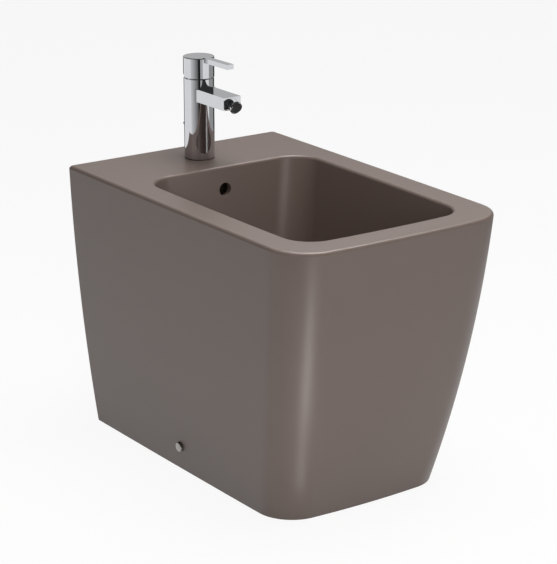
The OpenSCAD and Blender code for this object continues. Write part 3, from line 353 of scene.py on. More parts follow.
def finish(name, colour, tint, patch, roughness, roughness_spread, bump=0.0, grain=0.0,
           metallic=0.0, coat=0.0):
    """Material whose colour and roughness drift in patches of the given size, with a fine relief."""
    material = bpy.data.materials.new(name)
    material.use_nodes = True
    nodes, links = material.node_tree.nodes, material.node_tree.links
    shader = nodes["Principled BSDF"]
    shader.inputs["Metallic"].default_value = metallic
    shader.inputs["Coat Weight"].default_value = coat
    shader.inputs["Coat Roughness"].default_value = 0.12
    place = nodes.new("ShaderNodeTexCoord")
    drift = nodes.new("ShaderNodeTexNoise")
    drift.inputs["Scale"].default_value = 1 / patch
    drift.inputs["Detail"].default_value = 3
    links.new(place.outputs["Object"], drift.inputs["Vector"])
    colours = nodes.new("ShaderNodeMix")
    colours.data_type = "RGBA"
    colours.inputs[6].default_value = (*colour, 1)
    colours.inputs[7].default_value = (*tint, 1)
    links.new(drift.outputs["Fac"], colours.inputs[0])
    links.new(colours.outputs[2], shader.inputs["Base Color"])
    gloss = nodes.new("ShaderNodeMapRange")
    gloss.inputs["To Min"].default_value = roughness - roughness_spread
    gloss.inputs["To Max"].default_value = roughness + roughness_spread
    links.new(drift.outputs["Fac"], gloss.inputs["Value"])
    links.new(gloss.outputs[0], shader.inputs["Roughness"])
    if bump:
        fine = nodes.new("ShaderNodeTexNoise")
        fine.inputs["Scale"].default_value = 1 / grain
        fine.inputs["Detail"].default_value = 2
        links.new(place.outputs["Object"], fine.inputs["Vector"])
        relief = nodes.new("ShaderNodeBump")
        relief.inputs["Strength"].default_value = 1.0
        relief.inputs["Distance"].default_value = bump
        links.new(fine.outputs["Fac"], relief.inputs["Height"])
        links.new(relief.outputs[0], shader.inputs["Normal"])
    return material


def srgb(*channels):
    """Scene-linear values of a colour given as it looks on screen, from 0 to 255."""
    return tuple(((c / 255 + 0.055) / 1.055) ** 2.4 for c in channels)


glaze = finish("satin_glaze", srgb(110, 96, 89), srgb(114, 99, 92), 0.15, 0.40, 0.02,
               bump=0.00003, grain=0.012)
raw_clay = finish("raw_fireclay", srgb(206, 198, 186), srgb(186, 176, 163), 0.05, 0.9, 0.05,
                  bump=0.0002, grain=0.003)

# Inside the overflow duct the brown glaze is darkened as painted shade, so that the hole looks dark.
duct_painted_shade = finish("painted_shade_in_duct", srgb(44, 38, 35), srgb(36, 31, 29), 0.05, 0.6, 0.05,
                    bump=0.0001, grain=0.004)

body_rings = 24
outer = [(z, outer_plan(z, 0, WALL_Y))
         for z in ((BODY_H - EDGE_R) * i / body_rings for i in range(body_rings + 1))]
for i in range(1, CURVE_STEPS // 2 + 1):
    a = math.radians(90 * i / (CURVE_STEPS // 2))
    inset, z = EDGE_R * (1 - math.cos(a)), BODY_H - EDGE_R * (1 - math.sin(a))
    outer.append((z, outer_plan(z, inset, WALL_Y - inset)))
body = loft("ceramic_shell", outer, glaze, raw_clay)

foot_z = WASTE.z + FLOOR_RISE
seat_r = 0.0335  # where the basin's floor ends and the flat seat of the waste begins
foot = basin_plan(foot_z + FOOT_R, -FOOT_R)
basin = [(WASTE.z + FLOOR_RISE * share, between(waste_plan(seat_r), foot, share))
         for share in (i / 12 for i in range(12))]
for i in range(CURVE_STEPS + 1):
    a = math.radians(90 * i / CURVE_STEPS)
    basin.append((foot_z + FOOT_R * (1 - math.cos(a)),
                  basin_plan(foot_z + FOOT_R, FOOT_R * (math.sin(a) - 1))))
lip_z = BODY_H - LIP_R
for i in range(1, 8):
    z = foot_z + FOOT_R + (lip_z - foot_z - FOOT_R) * i / 8
    basin.append((z, basin_plan(z, 0)))
for i in range(CURVE_STEPS // 2 + 1):
    a = math.radians(90 * i / (CURVE_STEPS // 2))
    z = BODY_H - LIP_R * (1 - math.sin(a))
    basin.append((z, basin_plan(z, LIP_R * (1 - math.cos(a)))))
basin.append((BODY_H + 0.001, basin_plan(BODY_H, LIP_R)))

cavity = loft("cavity", [(z, outer_plan(z, WALL_T, WALL_Y + 0.001))
                         for z in (-0.001 + (BODY_H - DECK_T + 0.001) * i / 12 for i in range(13))],
              raw_clay)
shell = loft("shell", [(WASTE.z - WALL_T, waste_plan(seat_r)),
                       (foot_z - WALL_T, basin_plan(foot_z, WALL_T - FOOT_R)),
                       (foot_z + FOOT_R / 2, basin_plan(foot_z + FOOT_R, WALL_T)),
                       (BODY_H - 0.001, basin_plan(BODY_H, WALL_T))], raw_clay)
BOSS_H, WASTE_HOLE_R, OVERFLOW_R, TAP_HOLE_R = 0.041, 0.023, 0.010, 0.0175
DUCT_W, DUCT_D, DUCT_WALL, DUCT_RUN = 0.024, 0.014, 0.007, 0.016
boss_z = WASTE.z - BOSS_H
duct_y = WALL_Y - BASIN_BACK + WALL_T - 0.003
duct_low = boss_z + DUCT_WALL + 0.002
overflow_z = BODY_H - 0.034
duct_top = overflow_z + 0.012
boss = rod("boss", (0, WASTE.y, boss_z), (0, WASTE.y, WASTE.z), WASTE_HOLE_R + WALL_T, raw_clay)
duct_x, duct_out_x = DUCT_W / 2, DUCT_W / 2 + DUCT_WALL
duct_back = block("duct_back", (-duct_out_x, duct_y - WALL_T, duct_low - DUCT_WALL),
                  (duct_out_x, duct_y + DUCT_D + DUCT_WALL, BODY_H - DECK_T + 0.001), raw_clay)
duct_run = block("duct_run", (-duct_out_x, WASTE.y, duct_low - DUCT_WALL),
                 (duct_out_x, duct_y + 0.001, duct_low + DUCT_RUN + DUCT_WALL), raw_clay)
SCREW_Y, SCREW_Z = 0.041, 0.037
SCREW_HOLE_R, CAP_SEAT_R, FIX_BOSS_R, FIX_BOSS_L = 0.00445, 0.0075, 0.015, 0.020
CAP_H = 0.007
CAP_SEAT_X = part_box("side_caps")[1][0] - CAP_H
bracket_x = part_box("floor_bracket_right")[1][0]


def across(name, side, start, end, radius, material):
    """A rod on the line of a side screw, from one distance from the middle to another."""
    return rod(name, (side * start, SCREW_Y, SCREW_Z), (side * end, SCREW_Y, SCREW_Z), radius, material)


fix_bosses = [across("fix_boss", side, bracket_x + 0.0003, bracket_x + FIX_BOSS_L, FIX_BOSS_R, raw_clay)
              for side in (-1, 1)]
cut(cavity, shell, boss, duct_back, duct_run, *fix_bosses)
cut(body, loft("basin", basin, glaze), cavity)
cut(body,
    block("duct_down", (-duct_x, duct_y, duct_low), (duct_x, duct_y + DUCT_D, duct_top), duct_painted_shade),
    block("duct_forward", (-duct_x, WASTE.y, duct_low), (duct_x, duct_y + 0.001, duct_low + DUCT_RUN),
          duct_painted_shade),
    rod("waste_hole", (0, WASTE.y, boss_z - 0.001), (0, WASTE.y, WASTE.z + 0.001), WASTE_HOLE_R, glaze),
    rod("overflow_hole", (0, duct_y - 0.016, overflow_z), (0, duct_y + 0.001, overflow_z), OVERFLOW_R,
        glaze),
    rod("tap_hole", (0, TAP.y, BODY_H - DECK_T - 0.001), (0, TAP.y, BODY_H + 0.001), TAP_HOLE_R, glaze),
    *(across("screw_hole", side, bracket_x - 0.001, CAP_SEAT_X, SCREW_HOLE_R, glaze) for side in (-1, 1)),
    *(across("cap_seat", side, CAP_SEAT_X, CAP_SEAT_X + 0.02, CAP_SEAT_R, glaze) for side in (-1, 1)))
smooth(body)
lit_by_strips.objects.link(body)
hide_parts("ceramic_body")
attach(body, "root")

# ---------------------------------------------------------------- tap body
# The column and spout are one brass casting, machined, polished and chromed. The column is a
# plain tube; the square-edged spout grows out of it with a small fillet at each side.
COLUMN_R, COLUMN_LOW, COLUMN_TOP = 0.022, 0.401, 0.519
SPIGOT_R, SPIGOT_LOW, CROWN_R, CROWN_LOW = 0.017, 0.395, 0.0192, 0.508
CARTRIDGE_R, CARTRIDGE_LOW, ADAPTER_R, ADAPTER_FLANGE_R = 0.015, 0.474, 0.006, 0.008
SPOUT_LOW, SPOUT_TOP, SPOUT_END, SPOUT_HALF = 0.487, 0.5055, 0.124, 0.0145
SPOUT_MID = (SPOUT_LOW + SPOUT_TOP) / 2
FLARE_W, FLARE_L = 0.003, 0.009
FIT = 0.00005  # gap round threads and pressed pieces, on the radius
LIFT_Y, STUD_Y = TAP.y + 0.013, TAP.y - 0.0105
KNOB_Z, LIFT_TRAVEL, KNOB_SLOT_HALF = 0.443, 0.024, 0.0021
LIFT_BORE_R, LIFT_BORE_TOP = 0.0028, 0.472
STUD_R, SOCKET_R, SOCKET_X, SOCKET_TOP = 0.004, 0.005, 0.0075, 0.407
ROUND_STEPS = 128


def turned(name, profile, place, *materials, steps=ROUND_STEPS):
    """Spins a closed (radius, height) profile round the Z axis of a place."""
    bm = bmesh.new()
    verts = [bm.verts.new((r, 0, h)) for r, h in profile]
    edges = [bm.edges.new((verts[i - 1], verts[i])) for i in range(len(verts))
             if profile[i - 1][0] > 0 or profile[i][0] > 0]
    bmesh.ops.spin(bm, geom=verts + edges, cent=(0, 0, 0), axis=(0, 0, 1), dvec=(0, 0, 0),
                   angle=math.tau, steps=steps, use_merge=True)
    bmesh.ops.remove_doubles(bm, verts=bm.verts, dist=1e-7)
    bmesh.ops.transform(bm, matrix=place, verts=bm.verts)
    return piece(name, bm, *materials)


def prism(name, outline, low, high, *materials):
    """Extrudes an outline, seen from above, from one height to another."""
    bm = bmesh.new()
    foot = bmesh.ops.contextual_create(bm, geom=[bm.verts.new((x, y, low)) for x, y in outline])
    top = bmesh.ops.extrude_face_region(bm, geom=foot["faces"] or bm.faces[:])
    bmesh.ops.translate(bm, vec=(0, 0, high - low),
                        verts=[v for v in top["geom"] if isinstance(v, bmesh.types.BMVert)])
    return piece(name, bm, *materials)


def edged(made, width, segments=2, angle=40):
    """Breaks the edges sharper than the angle, as polishing or moulding does."""
    bevel = made.modifiers.new("broken_edges", "BEVEL")
    bevel.width = width
    bevel.segments = segments
    bevel.limit_method = "ANGLE"
    bevel.angle_limit = math.radians(angle)
    return smooth(made, angle)


def stand_for(made, node, body_name):
    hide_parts(node)
    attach(made, body_name)
    return made


chrome = finish("chrome", srgb(214, 215, 218), srgb(206, 207, 211), 0.02, 0.04, 0.012, metallic=1.0)
at_tap = Matrix.Translation((0, TAP.y, 0))
column = turned("column_and_spout",
                [(0, SPIGOT_LOW), (SPIGOT_R - 0.0004, SPIGOT_LOW), (SPIGOT_R, SPIGOT_LOW + 0.0004),
                 (SPIGOT_R, COLUMN_LOW), (COLUMN_R - 0.0003, COLUMN_LOW), (COLUMN_R, COLUMN_LOW + 0.0003),
                 (COLUMN_R, COLUMN_TOP - 0.0004), (COLUMN_R - 0.0004, COLUMN_TOP), (0, COLUMN_TOP)],
                at_tap, chrome)
flare_end = TAP.y - COLUMN_R - 0.003
flare = [(SPOUT_HALF + FLARE_W * (1 - math.sin(a)), flare_end + FLARE_L * math.cos(a))
         for a in (math.radians(15 * i) for i in range(7))]
outline = [(SPOUT_HALF, TAP.y - 0.004), *flare, (SPOUT_HALF, SPOUT_END)]
outline += [(-x, y) for x, y in reversed(outline)]
cut(column, prism("spout", outline, SPOUT_LOW, SPOUT_TOP, chrome), how="UNION")
below = SPIGOT_LOW - 0.001
cut(column,
    rod("cartridge_space", (0, TAP.y, CARTRIDGE_LOW), (0, TAP.y, CROWN_LOW + 0.001), CARTRIDGE_R, chrome,
        sides=96),
    rod("crown_space", (0, TAP.y, CROWN_LOW), (0, TAP.y, COLUMN_TOP + 0.001), CROWN_R, chrome, sides=96),
    rod("adapter_bore", (0, SPOUT_END - 0.001, SPOUT_MID), (0, SPOUT_END + 0.010, SPOUT_MID),
        ADAPTER_R + FIT, chrome),
    rod("adapter_seat", (0, SPOUT_END - 0.001, SPOUT_MID), (0, SPOUT_END + 0.002, SPOUT_MID),
        ADAPTER_FLANGE_R + FIT, chrome),
    rod("lift_bore", (0, LIFT_Y, below), (0, LIFT_Y, LIFT_BORE_TOP), LIFT_BORE_R, chrome, sides=32),
    block("knob_slot", (-KNOB_SLOT_HALF, LIFT_Y, KNOB_Z - KNOB_SLOT_HALF),
          (KNOB_SLOT_HALF, LIFT_Y + COLUMN_R, KNOB_Z + LIFT_TRAVEL + KNOB_SLOT_HALF), chrome),
    rod("stud_hole", (0, STUD_Y, below), (0, STUD_Y, SOCKET_TOP), STUD_R + FIT, chrome, sides=32),
    *(rod("hose_socket", (x, TAP.y + 0.004, below), (x, TAP.y + 0.004, SOCKET_TOP), SOCKET_R, chrome,
          sides=48) for x in (-SOCKET_X, SOCKET_X)))
stand_for(edged(column, 0.0004), "tap_body", "root")

# ---------------------------------------------------------------- handle
# A thick chromed cap over the column, cast with a straight flat lever at its top. Its back is cut
# away underneath so that it can tip back, and a screw under a small plug holds it to the spindle.
HANDLE_R, HANDLE_LOW, HANDLE_TOP, ROOF = 0.0225, 0.5205, 0.550, 0.546
HANDLE_BORE_R, HUB_R, HUB_LOW, HUB_BORE_R, HANDLE_EDGE_R = 0.020, 0.007, 0.5304, 0.00405, 0.0012
LEVER_HALF, LEVER_T, LEVER_START, LEVER_END, LEVER_RISE = 0.0055, 0.007, 0.0195, 0.082, 0.0007
LEVER_TURN, SLOPE_TURN, SLOPE_SIZE = 0.46, 24, 0.045
PLUG_Z, PLUG_HOLE_R = 0.53742, 0.00305
handle = turned("handle_and_lever",
                [(0, HANDLE_TOP),
                 *arc(HANDLE_R - HANDLE_EDGE_R, HANDLE_TOP - HANDLE_EDGE_R, HANDLE_EDGE_R, 90, 0, 6),
                 (HANDLE_R, HANDLE_LOW), (HANDLE_BORE_R, HANDLE_LOW), (HANDLE_BORE_R, ROOF), (HUB_R, ROOF),
                 (HUB_R, HUB_LOW), (HUB_BORE_R, HUB_LOW), (HUB_BORE_R, ROOF), (0, ROOF)], at_tap, chrome)
lever = block("lever", (-LEVER_HALF, -LEVER_END, -LEVER_T), (LEVER_HALF, -LEVER_START, 0), chrome)
lever.data.transform(Matrix.Translation((0, TAP.y, HANDLE_TOP + LEVER_RISE))
                     @ Matrix.Rotation(math.radians(-LEVER_TURN), 4, "X"))
cut(handle, lever, how="UNION")
slope = block("slope", (-SLOPE_SIZE, 0, -SLOPE_SIZE), (SLOPE_SIZE, SLOPE_SIZE, 0), chrome)
slope.data.transform(Matrix.Translation((0, TAP.y, HANDLE_LOW))
                     @ Matrix.Rotation(math.radians(SLOPE_TURN), 4, "X"))
cut(handle, slope,
    rod("plug_hole", (0, TAP.y + 0.010, PLUG_Z), (0, TAP.y + 0.030, PLUG_Z), PLUG_HOLE_R, chrome, sides=32))
stand_for(edged(handle, 0.0004), "tap_handle", "handle")

# ---------------------------------------------------------------- dome, cartridge and spindle
# A thin chromed dome closes the column under the handle. Inside, a ring nut holds the cartridge, a
# moulded housing with two ground discs and a carrier; the spindle tilts in it on a steel pin.
white_plastic = finish("white_acetal", srgb(228, 227, 222), srgb(219, 218, 212), 0.01, 0.42, 0.05,
                       bump=0.00001, grain=0.001)
grey_plastic = finish("grey_plastic", srgb(72, 74, 76), srgb(62, 63, 65), 0.003, 0.45, 0.06,
                      bump=0.00001, grain=0.0008)
alumina = finish("ground_alumina", srgb(238, 236, 228), srgb(230, 228, 219), 0.004, 0.3, 0.05)
brass = finish("machined_brass", srgb(205, 178, 110), srgb(188, 158, 92), 0.004, 0.28, 0.06,
               bump=0.000004, grain=0.0006, metallic=1.0)
zinc = finish("zinc_steel", srgb(176, 180, 184), srgb(158, 160, 163), 0.005, 0.32, 0.08,
              bump=0.000004, grain=0.0015, metallic=1.0)


def plain(node, material):
    """A CAD piece that keeps its own mesh, which is turned, pressed or moulded to that form."""
    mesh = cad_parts[node].data
    mesh.materials.clear()
    mesh.materials.append(material)


DOME_R, DOME_T, PIN_Z = 0.02482, 0.0018, 0.505
dome_ring = turned("dome_ring_turned",
                   [*arc(0, 0, DOME_R, 59.7, 35.85, 9), (0.02050, 0.0141), (0.01905, 0.0140),
                    (0.01905, 0.0131), *arc(0, 0, DOME_R - DOME_T, 38, 57.35, 9)],
                   Matrix.Translation((0, TAP.y, PIN_Z)), chrome)
stand_for(smooth(dome_ring), "dome_ring", "root")
plain("cartridge_body", grey_plastic)
plain("fixed_disc", alumina)
plain("moving_disc", alumina)
plain("cartridge_carrier", white_plastic)
plain("tilt_pin", zinc)
plain("spindle", brass)
plain("cartridge_nut", brass)
plain("handle_screw", zinc)
TO_WALL = Matrix.Rotation(math.radians(-90), 4, "X")  # turns +Z to +Y
plug = turned("handle_plug_turned", [(0, 0.0025), *arc(0.0026, 0.0021, 0.0004, 90, 0, 3), (0.003, 0), (0, 0)],
              Matrix.Translation((0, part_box("handle_plug")[0][1], PLUG_Z)) @ TO_WALL, chrome, steps=48)
stand_for(smooth(plug), "handle_plug", "handle")

# ---------------------------------------------------------------- nozzle
# A chromed ball on a screwed neck carries the swivelling nozzle: a turned cup with a fine collar,
# a rubber friction ring inside it, and an aerator of crossed bars set just under its mouth.
BALL = Vector((0, 0.1185, 0.493326))
NOZZLE_R, NOZZLE_L, NOZZLE_LOW = 0.00925, 0.006, -0.0024
at_nozzle = Matrix.Translation(BALL) @ Matrix.Rotation(math.radians(118), 4, "X")
adapter = turned("nozzle_adapter_turned",
                 [(0.004, -0.010), (ADAPTER_R, -0.010), (ADAPTER_R, -0.002), (ADAPTER_FLANGE_R, -0.002),
                  (ADAPTER_FLANGE_R, -0.0003), (0.0077, 0), (0, 0), (0, -0.003), (0.004, -0.003)],
                 Matrix.Translation((0, SPOUT_END, SPOUT_MID)) @ Matrix.Rotation(math.radians(90), 4, "X"),
                 chrome, steps=64)
ball_outline = arc(0, 0, 0.004, 75, -60, 15)
ball = turned("ball", [(0.001, ball_outline[0][1]), *ball_outline, (0.002, -0.0071), (0.001, -0.0071)],
              at_nozzle, chrome, steps=48)
cut(adapter, ball, how="UNION")
stand_for(smooth(adapter), "nozzle_adapter", "root")
housing = turned("nozzle_cup",
                 [(0.0036, NOZZLE_LOW), (0.0053, NOZZLE_LOW), (0.0066, -0.0012), (0.00915, 0.0009),
                  (NOZZLE_R, 0.0013), (NOZZLE_R, 0.0018), (0.0090, 0.0020), (0.0090, 0.0023),
                  (NOZZLE_R, 0.0025), (NOZZLE_R, NOZZLE_L - 0.0006), (0.0089, NOZZLE_L), (0.0077, NOZZLE_L),
                  (0.0073, NOZZLE_L - 0.0004), (0.0073, 0.0044), (0.0035, 0.0044), (0.0035, 0.0041),
                  (0.0053, 0.0005), (0.0053, -0.0005), (0.0049, -0.0018), (0.0040, -0.0019)],
                 at_nozzle, chrome)
stand_for(smooth(housing, 25), "nozzle_housing", "nozzle")
mesh_dark = finish("aerator_plastic", srgb(98, 99, 102), srgb(82, 83, 86), 0.002, 0.35, 0.06)
bm = bmesh.new()
DISC_R, DISC_T, DISC_Z, MESH_R, MESH_Z = 0.00725, 0.0005, 0.00465, 0.0070, 0.00515
BAR, BAR_H, PITCH, BARS = 0.00034, 0.00055, 0.00125, 5
bmesh.ops.create_cone(bm, cap_ends=True, segments=64, radius1=DISC_R, radius2=DISC_R, depth=DISC_T)
bmesh.ops.translate(bm, vec=(0, 0, DISC_Z), verts=bm.verts)
for quarter in (0, 1):
    turn = Matrix.Rotation(math.radians(90 * quarter + 20), 3, "Z")
    for i in range(-BARS, BARS + 1):
        half_l = math.sqrt(MESH_R**2 - (i * PITCH) ** 2)
        bar = bmesh.ops.create_cube(bm, size=1.0)["verts"]
        bmesh.ops.scale(bm, vec=(2 * half_l, BAR, BAR_H), verts=bar)
        bmesh.ops.translate(bm, vec=(0, i * PITCH, MESH_Z + 0.00004 * quarter), verts=bar)
        bmesh.ops.rotate(bm, cent=(0, 0, 0), matrix=turn, verts=bar)
bmesh.ops.transform(bm, matrix=at_nozzle, verts=bm.verts)
aerator = piece("aerator_mesh", bm, mesh_dark)
stand_for(smooth(aerator), "aerator", "nozzle")
rubber = finish("black_rubber", srgb(34, 34, 35), srgb(43, 43, 43), 0.004, 0.7, 0.08, bump=0.00004,
                grain=0.0008)
plain("nozzle_ring", rubber)

# ---------------------------------------------------------------- gasket and fixing under the deck
# A rubber gasket lies under the column. Below the deck a rubber and a zinc plated steel crescent
# are pulled up by a brass nut on a threaded stud.
def threaded(radius, depth, pitch, low, high):
    """Outline points of an outer thread, from low to high."""
    count = int((high - low) / pitch)
    points = []
    for i in range(count):
        z = low + pitch * i
        points += [(radius - depth, z), (radius, z + pitch * 0.5)]
    return points + [(radius - depth, low + pitch * count), (radius - depth, high)]


plain("tap_gasket", rubber)
plain("clamp_rubber", rubber)
plain("clamp_plate", zinc)
stud_low, stud_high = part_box("mounting_stud")[0][2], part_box("mounting_stud")[1][2]
stud = turned("threaded_stud",
              [(0, stud_low), (0.0033, stud_low), *threaded(STUD_R, 0.0005, 0.001, stud_low + 0.0006, 0.387),
               (STUD_R, 0.3875), (STUD_R, stud_high), (0, stud_high)],
              Matrix.Translation((0, STUD_Y, 0)), brass, steps=32)
stand_for(smooth(stud, 20), "mounting_stud", "root")


def hexagon(name, corner_r, low, high, bore_r, place, *materials, chamfer=0.0008):
    """A six-sided nut on the Z axis of a place, with its corners turned off at both ends."""
    made = rod(name, (0, 0, low), (0, 0, high), corner_r, *materials, sides=6)
    made.data.transform(Matrix.Rotation(math.radians(30), 4, "Z"))
    flat_r, past_r, rise = corner_r - chamfer, corner_r * 1.01, chamfer * 0.6
    cut(made, turned("corners",
                     [(0, low - 0.001), (flat_r, low - 0.001), (flat_r, low), (corner_r, low + rise),
                      (past_r, low + rise), (past_r, high - rise), (corner_r, high - rise), (flat_r, high),
                      (flat_r, high + 0.001), (0, high + 0.001)],
                     Matrix.Identity(4), *materials, steps=48), how="INTERSECT")
    cut(made, rod("bore", (0, 0, low - 0.001), (0, 0, high + 0.001), bore_r, *materials, sides=48))
    made.data.transform(place)
    return made


nut_low, nut_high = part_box("clamp_nut")[0][2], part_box("clamp_nut")[1][2]
nut = hexagon("clamp_nut_hex", 0.00725, nut_low, nut_high, STUD_R + FIT,
              Matrix.Translation((0, STUD_Y, 0)), brass)
stand_for(smooth(nut), "clamp_nut", "root")

# ---------------------------------------------------------------- pop-up lift
# The small turned knob behind the column lifts a chromed rod. Below the deck a pressed steel strap
# is clamped to the rod, and the ball rod goes through its end between two spring clips.
LIFT_ROD_R, KNOB_R = 0.0025, 0.0032
lift_low, lift_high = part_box("lift_rod")[0][2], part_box("lift_rod")[1][2]
lift_rod = turned("lift_rod_turned",
                  [(0, lift_low), (LIFT_ROD_R - 0.0004, lift_low), (LIFT_ROD_R, lift_low + 0.0005),
                   (LIFT_ROD_R, lift_high - 0.0006), (LIFT_ROD_R - 0.0006, lift_high), (0, lift_high)],
                  Matrix.Translation((0, LIFT_Y, 0)), chrome, steps=48)
stand_for(smooth(lift_rod), "lift_rod", "lift")
knob_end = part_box("lift_knob")[1][1] - LIFT_Y
knob = turned("lift_knob_turned",
              [(0, 0.0003), (0.0015, 0.0003), (0.0015, 0.010), (0.0027, 0.010), (KNOB_R, 0.0105),
               (KNOB_R, 0.0145), (KNOB_R - 0.0003, 0.0149), (KNOB_R - 0.0003, 0.0154), (KNOB_R, 0.0158),
               (KNOB_R, knob_end - 0.001), (KNOB_R - 0.0003, knob_end - 0.0004), (0.0022, knob_end),
               (0, knob_end)],
              Matrix.Translation((0, LIFT_Y, KNOB_Z)) @ TO_WALL, chrome, steps=64)
stand_for(smooth(knob), "lift_knob", "lift")
plain("lift_strap", zinc)
plain("strap_screw", zinc)
plain("rod_clip", zinc)
PIVOT = Vector((0, 0.090, 0.160))
STRAP_Y = 0.22775
rod_tilt = math.asin(LIFT_TRAVEL / 2 / (STRAP_Y - PIVOT.y))
at_rod = Matrix.Translation(PIVOT) @ Matrix.Rotation(-rod_tilt - math.radians(90), 4, "X")
ball_rod = turned("ball_rod_turned",
                  [(0, 0.14975), (0.0016, 0.14975), (0.002, 0.1493), *arc(0, 0, 0.0047, 64, -64, 16),
                   (0.002, -0.0316), (0.0016, -0.032), (0, -0.032)], at_rod, chrome, steps=48)
stand_for(smooth(ball_rod, 25), "ball_rod", "lever_rod")

# ---------------------------------------------------------------- waste and plug
# The chromed flange screws down through the basin into the threaded brass body; a rubber washer
# and a brass back nut hold it from below. The chromed plug stands open on the ball rod.
at_waste = Matrix.Translation((0, WASTE.y, 0))
FLANGE_Z = WASTE.z + 0.0015
THREAD_R = 0.021  # outside the threads of the waste and of the bottle's neck
FLANGE_R, FLANGE_BORE_R, SLEEVE_R, SLEEVE_LOW = 0.0315, 0.0175, 0.0195, FLANGE_Z - 0.017
flange = turned("waste_flange_turned",
                [(FLANGE_BORE_R, SLEEVE_LOW), (SLEEVE_R, SLEEVE_LOW), (SLEEVE_R, FLANGE_Z),
                 (FLANGE_R, FLANGE_Z), (FLANGE_R, FLANGE_Z + 0.0010), (0.0312, FLANGE_Z + 0.0018),
                 (0.0304, FLANGE_Z + 0.0024), (0.0295, FLANGE_Z + 0.0025), (0.0235, FLANGE_Z + 0.0024),
                 (0.0190, FLANGE_Z + 0.0019), (0.0179, FLANGE_Z + 0.0013),
                 (FLANGE_BORE_R, FLANGE_Z + 0.0004)], at_waste, chrome)
stand_for(smooth(flange), "waste_flange", "root")
plain("flange_gasket", rubber)
PLUG_R, PLUG_HUB_R, PLUG_RISE = 0.021, 0.0145, 0.0035
plug_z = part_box("plug_cap")[1][2] - PLUG_RISE
cap = turned("plug_cap_turned",
             [(0, PLUG_RISE), (0.006, 0.00345), (0.012, 0.0032), (0.016, 0.0028), (0.019, 0.00235),
              (0.0202, 0.0020), (0.0208, 0.0015), (PLUG_R, 0.0009), (PLUG_R, 0.0003), (PLUG_R - 0.0003, 0),
              (PLUG_HUB_R, 0), (PLUG_HUB_R, -0.002), (0.013, -0.002), (0.013, -0.005), (PLUG_HUB_R, -0.005),
              (PLUG_HUB_R, -0.0067), (0.0142, -0.007), (0.00405, -0.007), (0.00405, -0.001), (0, -0.001)],
             Matrix.Translation((0, WASTE.y, plug_z)), chrome)
stand_for(smooth(cap), "plug_cap", "plug")
plain("plug_seal", rubber)
plain("plug_stem", white_plastic)
body_low, body_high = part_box("waste_body")[0][2], FLANGE_Z - 0.004
waste = turned("waste_body_turned",
               [(0.018, body_low), (0.0202, body_low),
                *threaded(THREAD_R, 0.0006, 0.0015, body_low + 0.0006, 0.1885), (0.0204, body_high),
                (SLEEVE_R + FIT, body_high), (SLEEVE_R + FIT, SLEEVE_LOW), (0.018, SLEEVE_LOW)],
               at_waste, brass)
PORT_R, PORT_BORE_R, ROD_WAY_R = 0.008, 0.006, 0.004
port = rod("port", (0, WASTE.y + 0.019, PIVOT.z), (0, PIVOT.y + 0.004, PIVOT.z), PORT_R, brass)
cut(waste, port, how="UNION")
cut(waste,
    rod("port_bore", (0, PIVOT.y - 0.005, PIVOT.z), (0, PIVOT.y + 0.005, PIVOT.z), PORT_BORE_R, brass),
    rod("rod_way", (0, WASTE.y, PIVOT.z), (0, PIVOT.y, PIVOT.z), ROD_WAY_R, brass, sides=32))
for turn in (45, 135):
    slot_tool = block("slot", (-0.004, -0.024, duct_low), (0.004, 0.024, duct_low + DUCT_RUN), brass)
    slot_tool.data.transform(at_waste @ Matrix.Rotation(math.radians(turn), 4, "Z"))
    cut(waste, slot_tool)
stand_for(smooth(waste, 20), "waste_body", "root")
plain("waste_washer", rubber)
nut_low, nut_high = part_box("waste_nut")[0][2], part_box("waste_nut")[1][2]
nut = hexagon("waste_nut_hex", 0.030, nut_low, nut_high, THREAD_R + FIT, at_waste, brass, chamfer=0.0018)
stand_for(smooth(nut), "waste_nut", "root")
plain("pivot_seat", white_plastic)
low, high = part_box("pivot_nut")
pivot_nut = rod("pivot_nut_turned", (0, low[1], PIVOT.z), (0, high[1], PIVOT.z), 0.0105, chrome, sides=24)
cut(pivot_nut,
    rod("bore", (0, low[1] - 0.001, PIVOT.z), (0, high[1] - 0.003, PIVOT.z), PORT_R + FIT, chrome, sides=48),
    rod("mouth", (0, low[1], PIVOT.z), (0, high[1] + 0.001, PIVOT.z), ROD_WAY_R, chrome, sides=32))
stand_for(edged(pivot_nut, 0.0004, angle=12), "pivot_nut", "root")

# ---------------------------------------------------------------- bottle trap
# Turned and chromed brass: a bottle under the waste, with a cup screwed on below, grooved slip
# nuts with rubber rings round its pipes, and a plain pipe to the wall with a rolled bead.
pipe_chrome = finish("pipe_chrome", srgb(198, 200, 204), srgb(186, 188, 192), 0.02, 0.11, 0.04, metallic=1.0)


def slip_nut(name, outer_r, low, high, bores, place, *materials, ribs=12, depth=0.0009):
    """A round nut with grooves to grip, on the Z axis of a place; bores are (radius, from, to)."""
    bm = bmesh.new()
    count = 8 * ribs
    ring = bmesh.ops.create_circle(bm, cap_ends=True, segments=count, radius=outer_r)["verts"]
    inner = 1 - depth / outer_r
    grooves = [v for v in ring if round(math.atan2(v.co.y, v.co.x) / math.tau * count) % 8 in (3, 4, 5)]
    bmesh.ops.scale(bm, vec=(inner, inner, 1), verts=grooves)
    bmesh.ops.translate(bm, vec=(0, 0, low), verts=bm.verts)
    top = bmesh.ops.extrude_face_region(bm, geom=bm.faces[:])
    bmesh.ops.translate(bm, vec=(0, 0, high - low),
                        verts=[v for v in top["geom"] if isinstance(v, bmesh.types.BMVert)])
    made = piece(name, bm, *materials)
    for radius, start, end in bores:
        cut(made, rod("bore", (0, 0, start), (0, 0, end), radius, *materials, sides=64))
    made.data.transform(place)
    return edged(made, 0.0005, angle=50)


